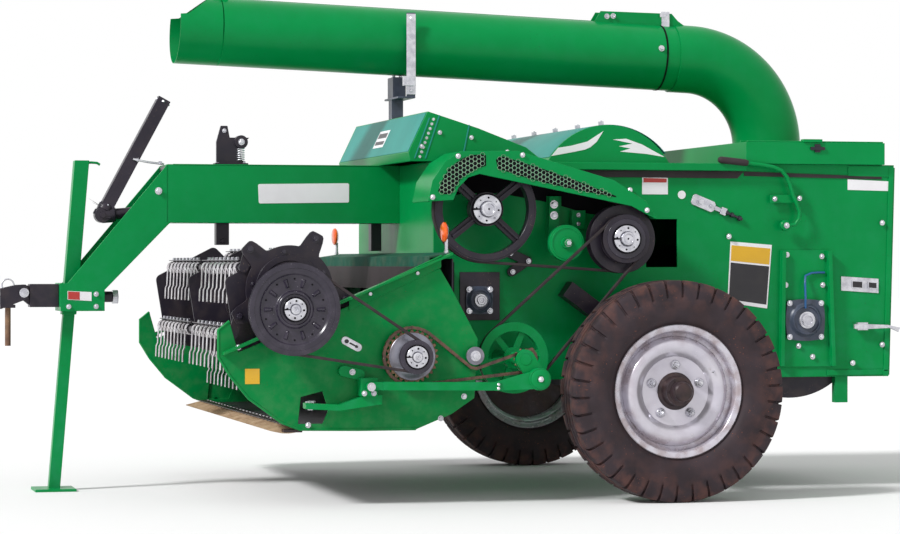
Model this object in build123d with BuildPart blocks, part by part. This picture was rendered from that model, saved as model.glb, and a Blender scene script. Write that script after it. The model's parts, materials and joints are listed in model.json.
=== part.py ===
from build123d import *
import math
import os

os.makedirs("parts", exist_ok=True)

# Straw reaper, in millimetres. The hitch points to -X, the left side is -Y and +Z is up. The origin is on the
# ground at the middle of the machine. Outlines are given as distance behind the axle and height above ground.

# Overall places
axle_x = 760
rear_x = 1190
hitch_tip_x = -2710
plate = 8
fit = 0.3

# Wheels
tyre_r = 465
tyre_half = 107
tread_half = 92
track_half = 1070
flange_r = 277
pitch_r = 111
hub_r = 78
cap_reach = 160
spindle_r = 30
bore_gap = 0.05
stud_count = 5

# Body
body_half = 690
body_front = -935
body_floor = 500
body_top = 1436
hood_half = body_half - 25
fan_x, fan_z, fan_r = 752, 751, 345
fan_half = body_half - 50
axle_tube = 80

# Header
header_half = body_half + 360
knife_x, knife_z = -1600, 322
guard_pitch = 76.2
guard_count = 27
auger_x, auger_z = -1130, 618
auger_r, auger_tube_r = 168, 100
inlet_half = body_half - 90

# Reel
reel_x, reel_z = -1638, 814
reel_r = 236
lean_x, lean_z = 22, 77
bat_count = 5
bat_phase = 62.8
bat_half = header_half - 125
spider_y = bat_half - 20
star_y = bat_half + 20
bat_r = 17
tine_pitch = 70
tine_count = 26
tine_length = 150
reel_pulley_r = 188

# Drive side, distances out from the middle plane
belt_plane = header_half + 100
main_belt_y = body_half + 172
knife_belt_y = body_half + 235
chain_y = header_half + 28
drum_x, drum_z, drum_r = -758, 1228, 222
jack_x, jack_z, jack_r, jack_small_r = -156, 1104, 146, 104
crank_x, crank_z, crank_r = -652, 604, 150
feed_pulley_r, sprocket_r = 70, 112
take_up_x, take_up_z, take_up_r = -860, 618, 38

# Drawbar
beam_half = 100
beam_top, beam_bottom = 1436, 1180
nose_x = hitch_tip_x + 255
nose_end_x = nose_x + 193
bend_x = nose_x + 470
nose_top, nose_bottom = 914, 792
post_side, leg_side = 64, 50
post_lean = 0.084
post_top, post_low = 1454, 775
leg_length = 890
foot_side, foot_thick = 180, 12

# Chute
chute_r, chute_wall = 150, 3
turn_x, turn_z, turn_r = 853, 1544, 400
pipe_r_base = 163
tube_tilt = 2.2
tube_end, spout_end = -1740, -1935


def side(y):
    """A plane that faces left at the distance y, with the axle below its origin."""
    return Plane(origin=(axle_x, y, 0), x_dir=(1, 0, 0), z_dir=(0, -1, 0))


def level(z):
    """A level plane at the height z, with the axle under its origin."""
    return Plane(origin=(axle_x, 0, z), x_dir=(1, 0, 0), z_dir=(0, 0, 1))


def cross(x):
    """A plane across the machine at the distance x behind the axle."""
    return Plane(origin=(axle_x + x, 0, 0), x_dir=(0, 1, 0), z_dir=(1, 0, 0))


def slab(points, y, thick, mode=Mode.ADD):
    """A plate with this outline, from y outwards to the left by its thickness."""
    with BuildSketch(side(y)) as outline:
        with BuildLine():
            Polyline(*points, close=True)
        make_face()
    extrude(outline.sketch, amount=thick, mode=mode)


def disc(x, z, radius, y, thick, mode=Mode.ADD):
    """A round plate or bar across the machine, from y outwards to the left."""
    with BuildSketch(side(y)) as outline:
        with Locations((x, z)):
            Circle(radius)
    extrude(outline.sketch, amount=thick, mode=mode)


def block(x, y, z, mode=Mode.ADD):
    """A block between pairs of limits along each axis."""
    with BuildSketch(level(z[0])) as outline:
        with Locations(((x[0] + x[1]) / 2, (y[0] + y[1]) / 2)):
            Rectangle(abs(x[1] - x[0]), abs(y[1] - y[0]))
    extrude(outline.sketch, amount=z[1] - z[0], mode=mode)


def bar(start, end, width, y, thick, mode=Mode.ADD):
    """A flat link with round ends between two points, from y outwards to the left."""
    length = math.dist(start, end)
    angle = math.degrees(math.atan2(end[1] - start[1], end[0] - start[0]))
    with BuildSketch(side(y)) as outline:
        with Locations(((start[0] + end[0]) / 2, (start[1] + end[1]) / 2)):
            SlotCenterToCenter(length, width, rotation=angle)
    extrude(outline.sketch, amount=thick, mode=mode)


def belt_loop(wheels, thick, y, width):
    """A closed belt round wheels given as x, z, radius, as the hull of its outer circles less that of its inner."""
    for grow, mode in ((thick, Mode.ADD), (0, Mode.SUBTRACT)):
        with BuildSketch(side(y)) as outline:
            for x, z, radius in wheels:
                with Locations((x, z)):
                    Circle(radius + grow)
            make_hull()
        extrude(outline.sketch, amount=width, mode=mode)


def pulley(x, z, radius, groove, y, width, grooves=1):
    """A grooved wheel: a rim turned down between its flanges."""
    disc(x, z, radius, y, width)
    land = 6
    each = (width - land) / grooves
    for k in range(grooves):
        disc(x, z, radius + 1, y - land - k * each, each - land, mode=Mode.SUBTRACT)
    disc(x, z, radius - groove, y, width)


# Wheels

wheel_axis = Axis((axle_x, 0, tyre_r), (0, 1, 0))
for name, hand in (("left", -1), ("right", 1)):
    wheel_plane = Plane(origin=(axle_x, 0, tyre_r), x_dir=(0, hand, 0), z_dir=(hand, 0, 0))
    # Tyre carcass, open towards the rim
    outer = ((-74, 262), (-75, 286), (-96, 302), (-tyre_half, 360), (-100, 425), (-tread_half, 448), (-tread_half, 463))
    with BuildPart() as tyre:
        with BuildSketch(wheel_plane):
            with BuildLine():
                half = [(track_half + a, r) for a, r in outer]
                other = [(track_half - a, r) for a, r in reversed(outer)]
                inner = [(track_half + a, r) for a, r in ((56, 268), (82, 355), (68, 432))]
                back = [(track_half - a, r) for a, r in ((68, 432), (82, 355), (56, 268))]
                Polyline(*half, (track_half - 40, tyre_r), (track_half + 40, tyre_r), *other, *inner, *back, close=True)
            make_face()
        revolve(axis=wheel_axis)
    tyre.part.label = f"tyre_{name}"
    export_step(tyre.part, f"parts/tyre_{name}.step")

    # Rim, dished disc, hub with its studs and the cap over the bearing
    with BuildPart() as rim:
        with BuildSketch(wheel_plane):
            with BuildLine():
                Polyline(
                    (track_half + 85, flange_r), (track_half + 79, flange_r), (track_half + 74, 260),
                    (track_half + 40, 258), (track_half + 28, 236), (track_half - 28, 236),
                    (track_half - 40, 258), (track_half - 74, 260), (track_half - 79, flange_r),
                    (track_half - 85, flange_r), (track_half - 81, 252), (track_half - 44, 250),
                    (track_half - 34, 228), (track_half + 34, 228), (track_half + 46, 250),
                    (track_half + 81, 252), close=True)
            make_face()
            with BuildLine():
                Polyline(
                    (track_half + 34, 228), (track_half + 52, 212), (track_half + 58, 190),
                    (track_half + 44, 140), (track_half + 44, hub_r - 1), (track_half + 34, hub_r - 1),
                    (track_half + 34, 142), (track_half + 48, 192), (track_half + 42, 208),
                    (track_half + 24, 228), close=True)
            make_face()
            with BuildLine():
                Polyline(
                    (track_half - 60, spindle_r + bore_gap), (track_half + 100, spindle_r + bore_gap),
                    (track_half + 100, 0), (track_half + cap_reach, 0), (track_half + cap_reach, 30),
                    (track_half + 150, 38), (track_half + 110, 42), (track_half + 100, 56),
                    (track_half + 50, 62), (track_half + 44, hub_r), (track_half + 30, hub_r),
                    (track_half + 30, 135), (track_half + 18, 135), (track_half + 14, 62),
                    (track_half - 60, 56), close=True)
            make_face()
        revolve(axis=wheel_axis)
        with BuildSketch(Plane(origin=(axle_x, hand * (track_half + 30), tyre_r), x_dir=(1, 0, 0), z_dir=(0, hand, 0))):
            with PolarLocations(pitch_r, stud_count, start_angle=90):
                RegularPolygon(13, 6)
        extrude(amount=34)
    rim.part.label = f"rim_{name}"
    export_step(rim.part, f"parts/rim_{name}.step")

# Axle beam with its spindles and the brackets up to the floor
with BuildPart() as axle:
    half_tube = axle_tube / 2
    block((-half_tube, half_tube), (140 - track_half, track_half - 140), (tyre_r - half_tube, tyre_r + half_tube - 5))
    disc(0, tyre_r, spindle_r, track_half + 95, 2 * track_half + 190)
    for y in (130 - body_half, body_half - 130):
        block((-120, 120), (y - 45, y + 45), (tyre_r - 20, body_floor))
axle.part.label = "axle"
export_step(axle.part, "parts/axle.step")

# Rear door's hinge
hinge_x, hinge_z, hinge_r, hinge_reach = 1168, 1422, 6, 20

# Body shell: two side walls, floor, front wall, top and a rear door
side_outline = (
    (body_front, body_floor), (1152, body_floor), (1180, body_top), (body_front, body_top), (body_front, 1300))
for name, y in (("left", -body_half + plate), ("right", body_half)):
    with BuildPart() as body_side:
        slab(side_outline, y, plate)
        # Stub that the rear door turns on
        disc(hinge_x, hinge_z, hinge_r, y if y > 0 else y + hinge_reach, hinge_reach + plate)
        if name == "left":
            slab(((21, 984), (163, 984), (163, 1193), (21, 1193)), y, plate, mode=Mode.SUBTRACT)
    body_side.part.label = f"body_side_{name}"
    export_step(body_side.part, f"parts/body_side_{name}.step")

body_inner = body_half - plate
with BuildPart() as body_shell:
    block((body_front, 1140), (-body_inner, body_inner), (body_floor, body_floor + plate))
    block((fan_x - 290, fan_x + 200), (-fan_half - 2, fan_half + 2), (body_floor, body_floor + plate),
          mode=Mode.SUBTRACT)
    block((body_front, body_front + plate), (-body_inner, body_inner), (1040, body_top))
    block((body_front, 470), (-body_inner, body_inner), (body_top - plate, body_top))
    block((body_front, body_front + plate), (-body_inner, body_inner), (body_floor, 560))
body_shell.part.label = "body_shell"
export_step(body_shell.part, "parts/body_shell.step")

# Fan housing, a round drum that shows below the floor and leads up to the outlet
with BuildPart() as fan_housing:
    disc(fan_x - 45, fan_z, fan_r, fan_half, 2 * fan_half)
    block((fan_x - 45, fan_x + 275), (-fan_half, fan_half), (fan_z, body_top - plate))
    disc(fan_x - 45, fan_z, fan_r - plate, fan_half - plate, 2 * (fan_half - plate), mode=Mode.SUBTRACT)
    block((fan_x - 45, fan_x + 267), (plate - fan_half, fan_half - plate), (fan_z, body_top), mode=Mode.SUBTRACT)
fan_housing.part.label = "fan_housing"
export_step(fan_housing.part, "parts/fan_housing.step")

# Rear lid tray round the chute's base
with BuildPart() as rear_lid:
    block((472, 1123), (-720, 720), (body_top, 1532))
    block((480, 1115), (-712, 712), (body_top, 1524), mode=Mode.SUBTRACT)
    with BuildSketch(level(1524)):
        with Locations((turn_x, 0)):
            Circle(pipe_r_base - 6)
    extrude(amount=plate, mode=Mode.SUBTRACT)
rear_lid.part.label = "rear_lid"
export_step(rear_lid.part, "parts/rear_lid.step")

# Rear door, hung at its top edge
door_bottom, door_top, door_x = 505, 1425, 1160
with BuildPart() as rear_door:
    slab(((door_x - 4, door_bottom), (door_x + 4, door_bottom), (rear_x, door_top), (rear_x - 8, door_top)),
         body_inner - 3, 2 * (body_inner - 3))
    for y in (body_inner - 3, -body_inner + 18):
        disc(hinge_x, hinge_z, 2 * hinge_r, y, 15)
        slab(((hinge_x, hinge_z - 6), (rear_x - 6, hinge_z - 6), (rear_x - 6, hinge_z + 3), (hinge_x, hinge_z + 3)),
             y, 15)
        disc(hinge_x, hinge_z, hinge_r + bore_gap, y, 15, mode=Mode.SUBTRACT)
rear_door.part.label = "rear_door"
export_step(rear_door.part, "parts/rear_door.step")

# Drum hood in front and the rounded cover behind it
hood_points = ((-1038, 1474), (-953, 1650), (-729, 1580), (-515, 1500), (-430, body_top), (-1030, body_top))
hood_inner = ((-1024, 1476), (-949, 1640), (-731, 1572), (-517, 1492), (-450, body_top), (-1020, body_top))
with BuildPart() as drum_hood:
    slab(hood_points, hood_half, 2 * hood_half)
    slab(hood_inner, hood_half - plate, 2 * (hood_half - plate), mode=Mode.SUBTRACT)
drum_hood.part.label = "drum_hood"
export_step(drum_hood.part, "parts/drum_hood.step")

with BuildPart() as round_cover:
    for inset, mode in ((0, Mode.ADD), (plate, Mode.SUBTRACT)):
        half = body_inner - inset
        with BuildSketch(side(half)) as cover_face:
            with BuildLine():
                start = (-425 + 2 * inset, body_top)
                crest = (-140, 1600 - inset)
                end = (130 - 2 * inset, body_top)
                ThreePointArc(start, crest, end)
                Line(end, start)
            make_face()
        extrude(amount=2 * half, mode=mode)
round_cover.part.label = "round_cover"
export_step(round_cover.part, "parts/round_cover.step")

# Header side plates with the sloping rail along their tops
header_outline = (
    (-1886, 765), (-1934, 730), (-1934, 621), (-1886, 543), (-1807, 449), (-1728, 391), (-1673, 350),
    (-1594, 320), (-1105, 316), (-952, 378), (-855, 443), (-840, 687), (-956, 902), (-1003, 980), (-1850, 640))
window = ((-1602, 345), (-1590, 455), (-1500, 478), (-1475, 400), (-1500, 345))
rail_face = ((-1915, 628), (-955, 1035), (-955, 1046), (-1915, 640))
rail_web = ((-1915, 590), (-955, 997), (-955, 1035), (-1915, 628))
for name, hand in (("left", -1), ("right", 1)):
    with BuildPart() as header_side:
        slab(header_outline, -header_half + plate if hand < 0 else header_half, plate)
        slab(window, -header_half + plate if hand < 0 else header_half, plate, mode=Mode.SUBTRACT)
        slab(rail_face, -header_half + plate if hand < 0 else header_half + 36, plate + 36)
        # Boss plate that carries the reel bearing
        slab(((reel_x - 110, 700), (reel_x + 110, 790), (reel_x + 70, reel_z + 90), (reel_x - 70, reel_z + 90)),
             -header_half + plate if hand < 0 else header_half, plate)
        disc(reel_x, reel_z, 25 + bore_gap, header_half + 40, 2 * header_half + 80, mode=Mode.SUBTRACT)
        disc(auger_x, auger_z, 25 + bore_gap, header_half + 40, 2 * header_half + 80, mode=Mode.SUBTRACT)
    header_side.part.label = f"header_side_{name}"
    export_step(header_side.part, f"parts/header_side_{name}.step")

# Header trough: floor, curved back and upper deck, open in the middle towards the drum
header_inner = header_half - plate
with BuildPart() as header_trough:
    trough = ((knife_x + 2, knife_z), (-1250, knife_z), (-1080, 364), (-985, 455), (-943, 560), (-943, 1020),
              (-950, 1020), (-950, 562), (-991, 461), (-1083, 372), (-1250, knife_z + plate),
              (knife_x + 2, knife_z + plate))
    slab(trough, header_inner, 2 * header_inner)
    block((-960, -930), (-inlet_half, inlet_half), (565, 1000), mode=Mode.SUBTRACT)
header_trough.part.label = "header_trough"
export_step(header_trough.part, "parts/header_trough.step")

with BuildPart() as header_deck:
    slab(((-1050, 985), (-1050, 1030), (-943, 1046), (-943, 1038), (-1042, 1022), (-1042, 985)),
         header_inner, 2 * header_inner)
header_deck.part.label = "header_deck"
export_step(header_deck.part, "parts/header_deck.step")

# Cutter bar with its pointed guards and the knife drive head
with BuildPart() as cutter_bar:
    block((-1660, -1580), (-header_inner + fit, header_inner - fit), (knife_z - 12, knife_z))
    tip = ((knife_x - 118, knife_z - 2), (knife_x - 60, knife_z + 14), (knife_x, knife_z + 14), (knife_x, knife_z - 12),
           (knife_x - 60, knife_z - 20))
    for k in range(guard_count):
        slab(tip, (k - (guard_count - 1) / 2) * guard_pitch + 11, 22)
cutter_bar.part.label = "cutter_bar"
export_step(cutter_bar.part, "parts/cutter_bar.step")

# Feed auger: tube, slanted flights, shaft, chain wheel and belt wheel
with BuildPart() as feed_auger:
    tube_half = header_inner - 12
    disc(auger_x, auger_z, auger_tube_r, tube_half, 2 * tube_half)
    for y in range(150 - header_half, header_half - 149, 200):
        lean = 18 if y < 0 else -18
        flight_plane = Plane(origin=(axle_x + auger_x, y, auger_z), z_dir=(math.sin(math.radians(lean)), 1, 0))
        with BuildSketch(flight_plane):
            Circle(auger_r)
        extrude(amount=6)
    disc(auger_x, auger_z, auger_tube_r - plate, tube_half - plate, 2 * (tube_half - plate), mode=Mode.SUBTRACT)
    disc(auger_x, auger_z, 25, header_half + 30, 2 * header_half + 130)
feed_auger.part.label = "feed_auger"
export_step(feed_auger.part, "parts/feed_auger.step")

with BuildPart() as feed_wheels:
    disc(auger_x, auger_z, sprocket_r, -chain_y + 4, 8)
    disc(auger_x, auger_z, 48, -chain_y, 70)
    pulley(auger_x, auger_z, feed_pulley_r, 14, -belt_plane + 14, 28)
    disc(auger_x, auger_z, 25, -header_half, 140, mode=Mode.SUBTRACT)
feed_wheels.part.label = "feed_wheels"
export_step(feed_wheels.part, "parts/feed_wheels.step")

# Reel: shaft, spiders, belt wheel
with BuildPart() as reel_core:
    disc(reel_x, reel_z, 25, header_half + 30, 2 * header_half + 160)
    for y in (-spider_y, -8, spider_y - 10):
        disc(reel_x, reel_z, 70, y + 10, 10)
        for k in range(bat_count):
            turn = math.radians(bat_phase + 72 * k)
            end = (reel_x + reel_r * math.cos(turn), reel_z + reel_r * math.sin(turn))
            bar((reel_x, reel_z), end, 60, y + 10, 10)
            disc(end[0], end[1], bat_r + fit, y + 20, 40, mode=Mode.SUBTRACT)
    pulley(reel_x, reel_z, reel_pulley_r, 16, -belt_plane + 16, 32)
reel_core.part.label = "reel_core"
export_step(reel_core.part, "parts/reel_core.step")

# Tine bats, each with a tube, hanging tines and the crank link that the star holds
for k in range(bat_count):
    turn = math.radians(bat_phase + 72 * k)
    bat_x = reel_x + reel_r * math.cos(turn)
    bat_z = reel_z + reel_r * math.sin(turn)
    with BuildPart() as bat:
        disc(bat_x, bat_z, bat_r, bat_half, 2 * bat_half)
        bar((bat_x, bat_z), (bat_x + lean_x, bat_z + lean_z), 40, -bat_half, 8)
        disc(bat_x + lean_x, bat_z + lean_z, 9, -bat_half, 34)
        for j in range(tine_count):
            y = (j - (tine_count - 1) / 2) * tine_pitch
            if min(abs(y + spider_y - 5), abs(y + 3), abs(y - spider_y + 5)) < 14:
                continue
            slab(((bat_x - 30, bat_z + 6), (bat_x, bat_z + 10), (bat_x, bat_z - 8), (bat_x - 22, bat_z - 10),
                  (bat_x - 30, bat_z - tine_length), (bat_x - 38, bat_z - tine_length)), y + 4, 8)
    bat.part.label = f"bat_{k + 1}"
    export_step(bat.part, f"parts/bat_{k + 1}.step")

# Five-lobed star that keeps the tines hanging, on its fixed eccentric
with BuildPart() as reel_star:
    star_x, star_z = reel_x + lean_x, reel_z + lean_z
    for k in range(bat_count):
        turn = math.radians(bat_phase + 72 * k)
        bar((star_x, star_z), (star_x + reel_r * math.cos(turn), star_z + reel_r * math.sin(turn)), 50, -star_y, 8)
    disc(star_x, star_z, 165, -star_y, 8)
    disc(star_x, star_z, 115 + fit, 5 - star_y, 20, mode=Mode.SUBTRACT)
    for k in range(bat_count):
        turn = math.radians(bat_phase + 72 * k)
        disc(star_x + reel_r * math.cos(turn), star_z + reel_r * math.sin(turn), 9 + bore_gap, 5 - star_y, 20,
             mode=Mode.SUBTRACT)
reel_star.part.label = "reel_star"
export_step(reel_star.part, "parts/reel_star.step")

with BuildPart() as reel_eccentric:
    disc(star_x, star_z, 115, -star_y, header_half - star_y - plate)
    disc(reel_x, reel_z, 25 + bore_gap, 5 - star_y, 140, mode=Mode.SUBTRACT)
reel_eccentric.part.label = "reel_eccentric"
export_step(reel_eccentric.part, "parts/reel_eccentric.step")

# Drum belt wheel with four spokes
with BuildPart() as drum_wheel:
    disc(drum_x, drum_z, drum_r, -main_belt_y + 22, 44)
    disc(drum_x, drum_z, drum_r + 1, -main_belt_y + 17, 34, mode=Mode.SUBTRACT)
    disc(drum_x, drum_z, drum_r - 6, -main_belt_y + 22, 44)
    disc(drum_x, drum_z, drum_r - 34, -main_belt_y + 22, 44, mode=Mode.SUBTRACT)
    for k in range(2):
        spoke = math.radians(38 + 100 * k)
        reach = drum_r - 30
        bar((drum_x - reach * math.cos(spoke), drum_z - reach * math.sin(spoke)),
            (drum_x + reach * math.cos(spoke), drum_z + reach * math.sin(spoke)), 38, -main_belt_y + 12, 24)
    disc(drum_x, drum_z, 72, -main_belt_y + 22, 60)
    disc(drum_x, drum_z, 30, -body_half - 2, 240)
drum_wheel.part.label = "drum_wheel"
export_step(drum_wheel.part, "parts/drum_wheel.step")

# Jack shaft with its wide and its small belt wheel
with BuildPart() as jack_wheel:
    pulley(jack_x, jack_z, jack_r, 14, -main_belt_y + 30, 60)
    pulley(jack_x, jack_z, jack_small_r, 12, -knife_belt_y + 18, 36)
    disc(jack_x, jack_z, 28, -body_half - 2, 275)
jack_wheel.part.label = "jack_wheel"
export_step(jack_wheel.part, "parts/jack_wheel.step")

# Belts, each a closed loop that lies in its grooves
with BuildPart() as main_belt:
    belt_loop(((drum_x, drum_z, drum_r - 6 + fit), (jack_x, jack_z, jack_r - 14 + fit)), 12, -main_belt_y + 16, 32)
main_belt.part.label = "main_belt"
export_step(main_belt.part, "parts/main_belt.step")

with BuildPart() as knife_belt:
    belt_loop(((jack_x, jack_z, jack_small_r - 12 + fit), (crank_x, crank_z, crank_r - 12 + fit)), 11,
              -knife_belt_y + 10, 20)
knife_belt.part.label = "knife_belt"
export_step(knife_belt.part, "parts/knife_belt.step")

with BuildPart() as reel_belt:
    belt_loop(((reel_x, reel_z, reel_pulley_r - 16 + fit), (auger_x, auger_z, feed_pulley_r - 14 + fit)), 12,
              -belt_plane + 7, 14)
reel_belt.part.label = "reel_belt"
export_step(reel_belt.part, "parts/reel_belt.step")

# Knife drive: spoked wheel, shaft, crank arm, pitman rod and the rocker that works the knife
pin_x, pin_z = -601, 522
rocker_x, rocker_z = -1319, 497
small_sprocket_r = 40
crank_y = header_half + 50
with BuildPart() as crank_wheel:
    pulley(crank_x, crank_z, crank_r, 12, -knife_belt_y + 18, 36)
    disc(crank_x, crank_z, crank_r - 38, -knife_belt_y + 18, 36, mode=Mode.SUBTRACT)
    for k in range(3):
        spoke = math.radians(10 + 60 * k)
        reach = crank_r - 34
        bar((crank_x - reach * math.cos(spoke), crank_z - reach * math.sin(spoke)),
            (crank_x + reach * math.cos(spoke), crank_z + reach * math.sin(spoke)), 26, -knife_belt_y + 6, 12)
    disc(crank_x, crank_z, 44, -knife_belt_y + 18, 36)
    disc(crank_x, crank_z, 25, -body_half, crank_y - body_half + 15)
    disc(crank_x, crank_z, small_sprocket_r, -chain_y + 4, 8)
    bar((crank_x, crank_z), (pin_x, pin_z), 80, -crank_y, 14)
    disc(pin_x, pin_z, 16, -crank_y - 14, 40)
crank_wheel.part.label = "crank_wheel"
export_step(crank_wheel.part, "parts/crank_wheel.step")

with BuildPart() as pitman:
    disc(pin_x, pin_z, 46, -crank_y - 17, 34)
    slab(((pin_x, pin_z + 40), (pin_x, pin_z - 40), (-790, 476), (-790, 512)), -crank_y - 24, 20)
    slab(((-770, 511), (-770, 477), (rocker_x + 52, 483), (rocker_x + 52, 517)), -crank_y - 19, 30)
    bar((rocker_x + 60, 500), (rocker_x, rocker_z + 2), 34, -crank_y - 24, 20)
    disc(pin_x, pin_z, 16 + bore_gap, -crank_y - 10, 60, mode=Mode.SUBTRACT)
    disc(rocker_x, rocker_z, 10 + bore_gap, -crank_y - 10, 60, mode=Mode.SUBTRACT)
pitman.part.label = "pitman"
export_step(pitman.part, "parts/pitman.step")

with BuildPart() as rocker:
    slab(((rocker_x - 35, 458), (rocker_x + 36, 458), (rocker_x + 36, 532), (rocker_x - 35, 532)), -header_half, 68)
    disc(rocker_x, rocker_z, 10, -crank_y - 10, 44)
    slab(((-1580, 408), (-1440, 400), (-1262, 424), (-1262, 462), (-1330, 462), (-1440, 424), (-1580, 432)),
         -header_half - 16, 40)
    slab(((-1580, 408), (-1552, 408), (-1552, 432), (-1580, 432)), -header_half + plate, 60)
    bar((rocker_x - 30, 545), (rocker_x - 95, 560), 44, -header_half, 24)
rocker.part.label = "rocker"
export_step(rocker.part, "parts/rocker.step")

# Chain wheel that takes up the slack, and the chain over it
with BuildPart() as take_up:
    disc(take_up_x, take_up_z, take_up_r, -chain_y + 6, 12)
    disc(take_up_x, take_up_z, 12, -header_half, 52)
take_up.part.label = "take_up"
export_step(take_up.part, "parts/take_up.step")

chain_half = 7
with BuildPart() as feed_chain:
    run = sprocket_r + fit + chain_half
    disc(auger_x, auger_z, run + chain_half, -chain_y + 6, 12)
    disc(auger_x, auger_z, sprocket_r + fit, -chain_y + 6, 12, mode=Mode.SUBTRACT)
    top_angle, low_angle = math.radians(52.4), math.radians(-83.8)
    slab(((auger_x, auger_z), (auger_x + 200 * math.cos(top_angle), auger_z + 200 * math.sin(top_angle)),
          (auger_x + 260, auger_z), (auger_x + 200 * math.cos(low_angle), auger_z + 200 * math.sin(low_angle))),
         -chain_y + 6, 12, mode=Mode.SUBTRACT)
    path = [(auger_x + run * math.cos(top_angle), auger_z + run * math.sin(top_angle)),
            (take_up_x - 6, take_up_z - 53)]
    path += [(crank_x + a, crank_z + b) for a, b in ((-14, 52), (30, 44), (54, 0), (30, -44), (6, -54))]
    path += [(auger_x + run * math.cos(low_angle), auger_z + run * math.sin(low_angle))]
    for a, b in zip(path, path[1:]):
        bar(a, b, 2 * chain_half, -chain_y + 6, 12)
feed_chain.part.label = "feed_chain"
export_step(feed_chain.part, "parts/feed_chain.step")

# Guard over the drum belt: a face plate with a skirt back to the body
guard_top = ((-1028, 1264), (-1010, 1345), (-955, 1425), (-885, 1468), (-640, 1472), (-215, 1352), (-75, 1264),
             (-25, 1197))
guard_low = ((-139, 1243), (-519, 1317), (-807, 1374), (-855, 1359), (-898, 1315), (-920, 1264))
guard_in = ((-1022, 1264), (-1004, 1343), (-951, 1420), (-883, 1462), (-641, 1466), (-219, 1346), (-80, 1259),
            (-34, 1197), (-34, 1150), (-1022, 1150))
guard_y = body_half + 260
with BuildPart() as belt_guard:
    slab(guard_top + ((-25, 1190), (-34, 1190)) + guard_low + ((-1022, 1258), (-1028, 1258)), -body_half,
         guard_y + plate - body_half)
    slab(guard_in, -body_half, guard_y - body_half, mode=Mode.SUBTRACT)
belt_guard.part.label = "belt_guard"
export_step(belt_guard.part, "parts/belt_guard.step")

# Slack wheel of the main belt, the tension links and bracket beside it
with BuildPart() as belt_idler:
    disc(-400, 1087, 77, -main_belt_y + 14, 28)
    disc(-400, 1087, 14, -body_half - 10, 210)
    slab(((-432, 1050), (-368, 1050), (-368, 1290), (-432, 1290)), -body_half, 10)
    slab(((-330, 1150), (-268, 1150), (-268, 1228), (-330, 1228)), -body_half, 40)
belt_idler.part.label = "belt_idler"
export_step(belt_idler.part, "parts/belt_idler.step")

with BuildPart() as tension_bracket:
    for a, b in (((-602, 1044), (-522, 1010)), ((-522, 1010), (-593, 964))):
        bar(a, b, 40, -body_half - 10, 12)
    for x, z in ((-602, 1044), (-593, 964)):
        disc(x, z, 12, -body_half, 34)
    slab(((-382, 862), (-340, 922), (-206, 826), (-248, 766)), -body_half, 80)
tension_bracket.part.label = "tension_bracket"
export_step(tension_bracket.part, "parts/tension_bracket.step")

# Bearing units on the body wall
with BuildPart() as bearings:
    slab(((-820, 757), (-643, 757), (-643, 963), (-820, 963)), -body_half, 8)
    disc(-736, 843, 57, -body_half - 8, 34)
    slab(((650, 545), (885, 545), (845, 1059), (665, 1059)), -body_half, 8)
    slab(((fan_x - 80, fan_z - 80), (fan_x + 80, fan_z - 80), (fan_x + 80, fan_z + 80), (fan_x - 80, fan_z + 80)),
         -body_half - 8, 16)
    disc(fan_x, fan_z, 52, -body_half - 24, 26)
    disc(jack_x, jack_z, 60, -body_half, 0.5 + 1.5)
bearings.part.label = "bearings"
export_step(bearings.part, "parts/bearings.step")

# Drawbar: two side plates cut from one outline, closed along the level part and open on top of the slope
beam_outline = (
    (nose_x, nose_bottom), (nose_x, nose_top), (-2425, nose_top), (bend_x, beam_top), (body_front, beam_top),
    (body_front, beam_bottom), (-1972, beam_bottom), (nose_end_x, 884), (nose_end_x, nose_bottom))
beam_hollow = (
    (nose_x + 8, nose_bottom + 8), (nose_x + 8, nose_top + 40), (-2425, nose_top + 40), (bend_x, beam_top + 60),
    (bend_x, beam_top - 8), (body_front, beam_top - 8), (body_front, beam_bottom + 8), (-1976, beam_bottom + 8),
    (nose_end_x - 8, 887), (nose_end_x - 8, nose_bottom + 8))


def post_outline(width, bottom, top):
    """The leaning post's outline between two heights."""
    foot_x = -2402
    points = []
    for z, sides in ((bottom, (-1, 1)), (top, (1, -1))):
        for s in sides:
            points.append((foot_x + (z - 773) * post_lean + s * width / 2, z))
    return tuple(points)


post_y = 57
shaft_r = 20
swivel_z = 853
with BuildPart() as drawbar:
    slab(beam_outline, beam_half, 2 * beam_half)
    slab(beam_hollow, beam_half - plate, 2 * (beam_half - plate), mode=Mode.SUBTRACT)
    slab(post_outline(post_side + 2 * fit, 700, 900), post_y + post_side / 2 + fit, post_side + 2 * fit,
         mode=Mode.SUBTRACT)
    with BuildSketch(cross(nose_x - 5)):
        with Locations((0, swivel_z)):
            Circle(shaft_r + bore_gap)
    extrude(amount=nose_end_x - nose_x + 10, mode=Mode.SUBTRACT)
drawbar.part.label = "drawbar"
export_step(drawbar.part, "parts/drawbar.step")

# Parking stand: leaning post through the nose box, and the leg that slides in it
with BuildPart() as stand_post:
    slab(post_outline(post_side, post_low, post_top), post_y + post_side / 2, post_side)
    slab(post_outline(leg_side + 2 * fit, post_low - 10, post_top + 10), post_y + leg_side / 2 + fit,
         leg_side + 2 * fit, mode=Mode.SUBTRACT)
stand_post.part.label = "stand_post"
export_step(stand_post.part, "parts/stand_post.step")

foot_x = -2402 - 773 * post_lean
with BuildPart() as stand_leg:
    slab(post_outline(leg_side, foot_thick, leg_length), post_y + leg_side / 2, leg_side)
    slab(post_outline(leg_side - 12, foot_thick + 8, leg_length + 10), post_y + leg_side / 2 - 6, leg_side - 12,
         mode=Mode.SUBTRACT)
    block((foot_x - foot_side / 2, foot_x + foot_side / 2), (post_y - foot_side / 2, post_y + foot_side / 2),
          (0, foot_thick))
stand_leg.part.label = "stand_leg"
export_step(stand_leg.part, "parts/stand_leg.step")

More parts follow.
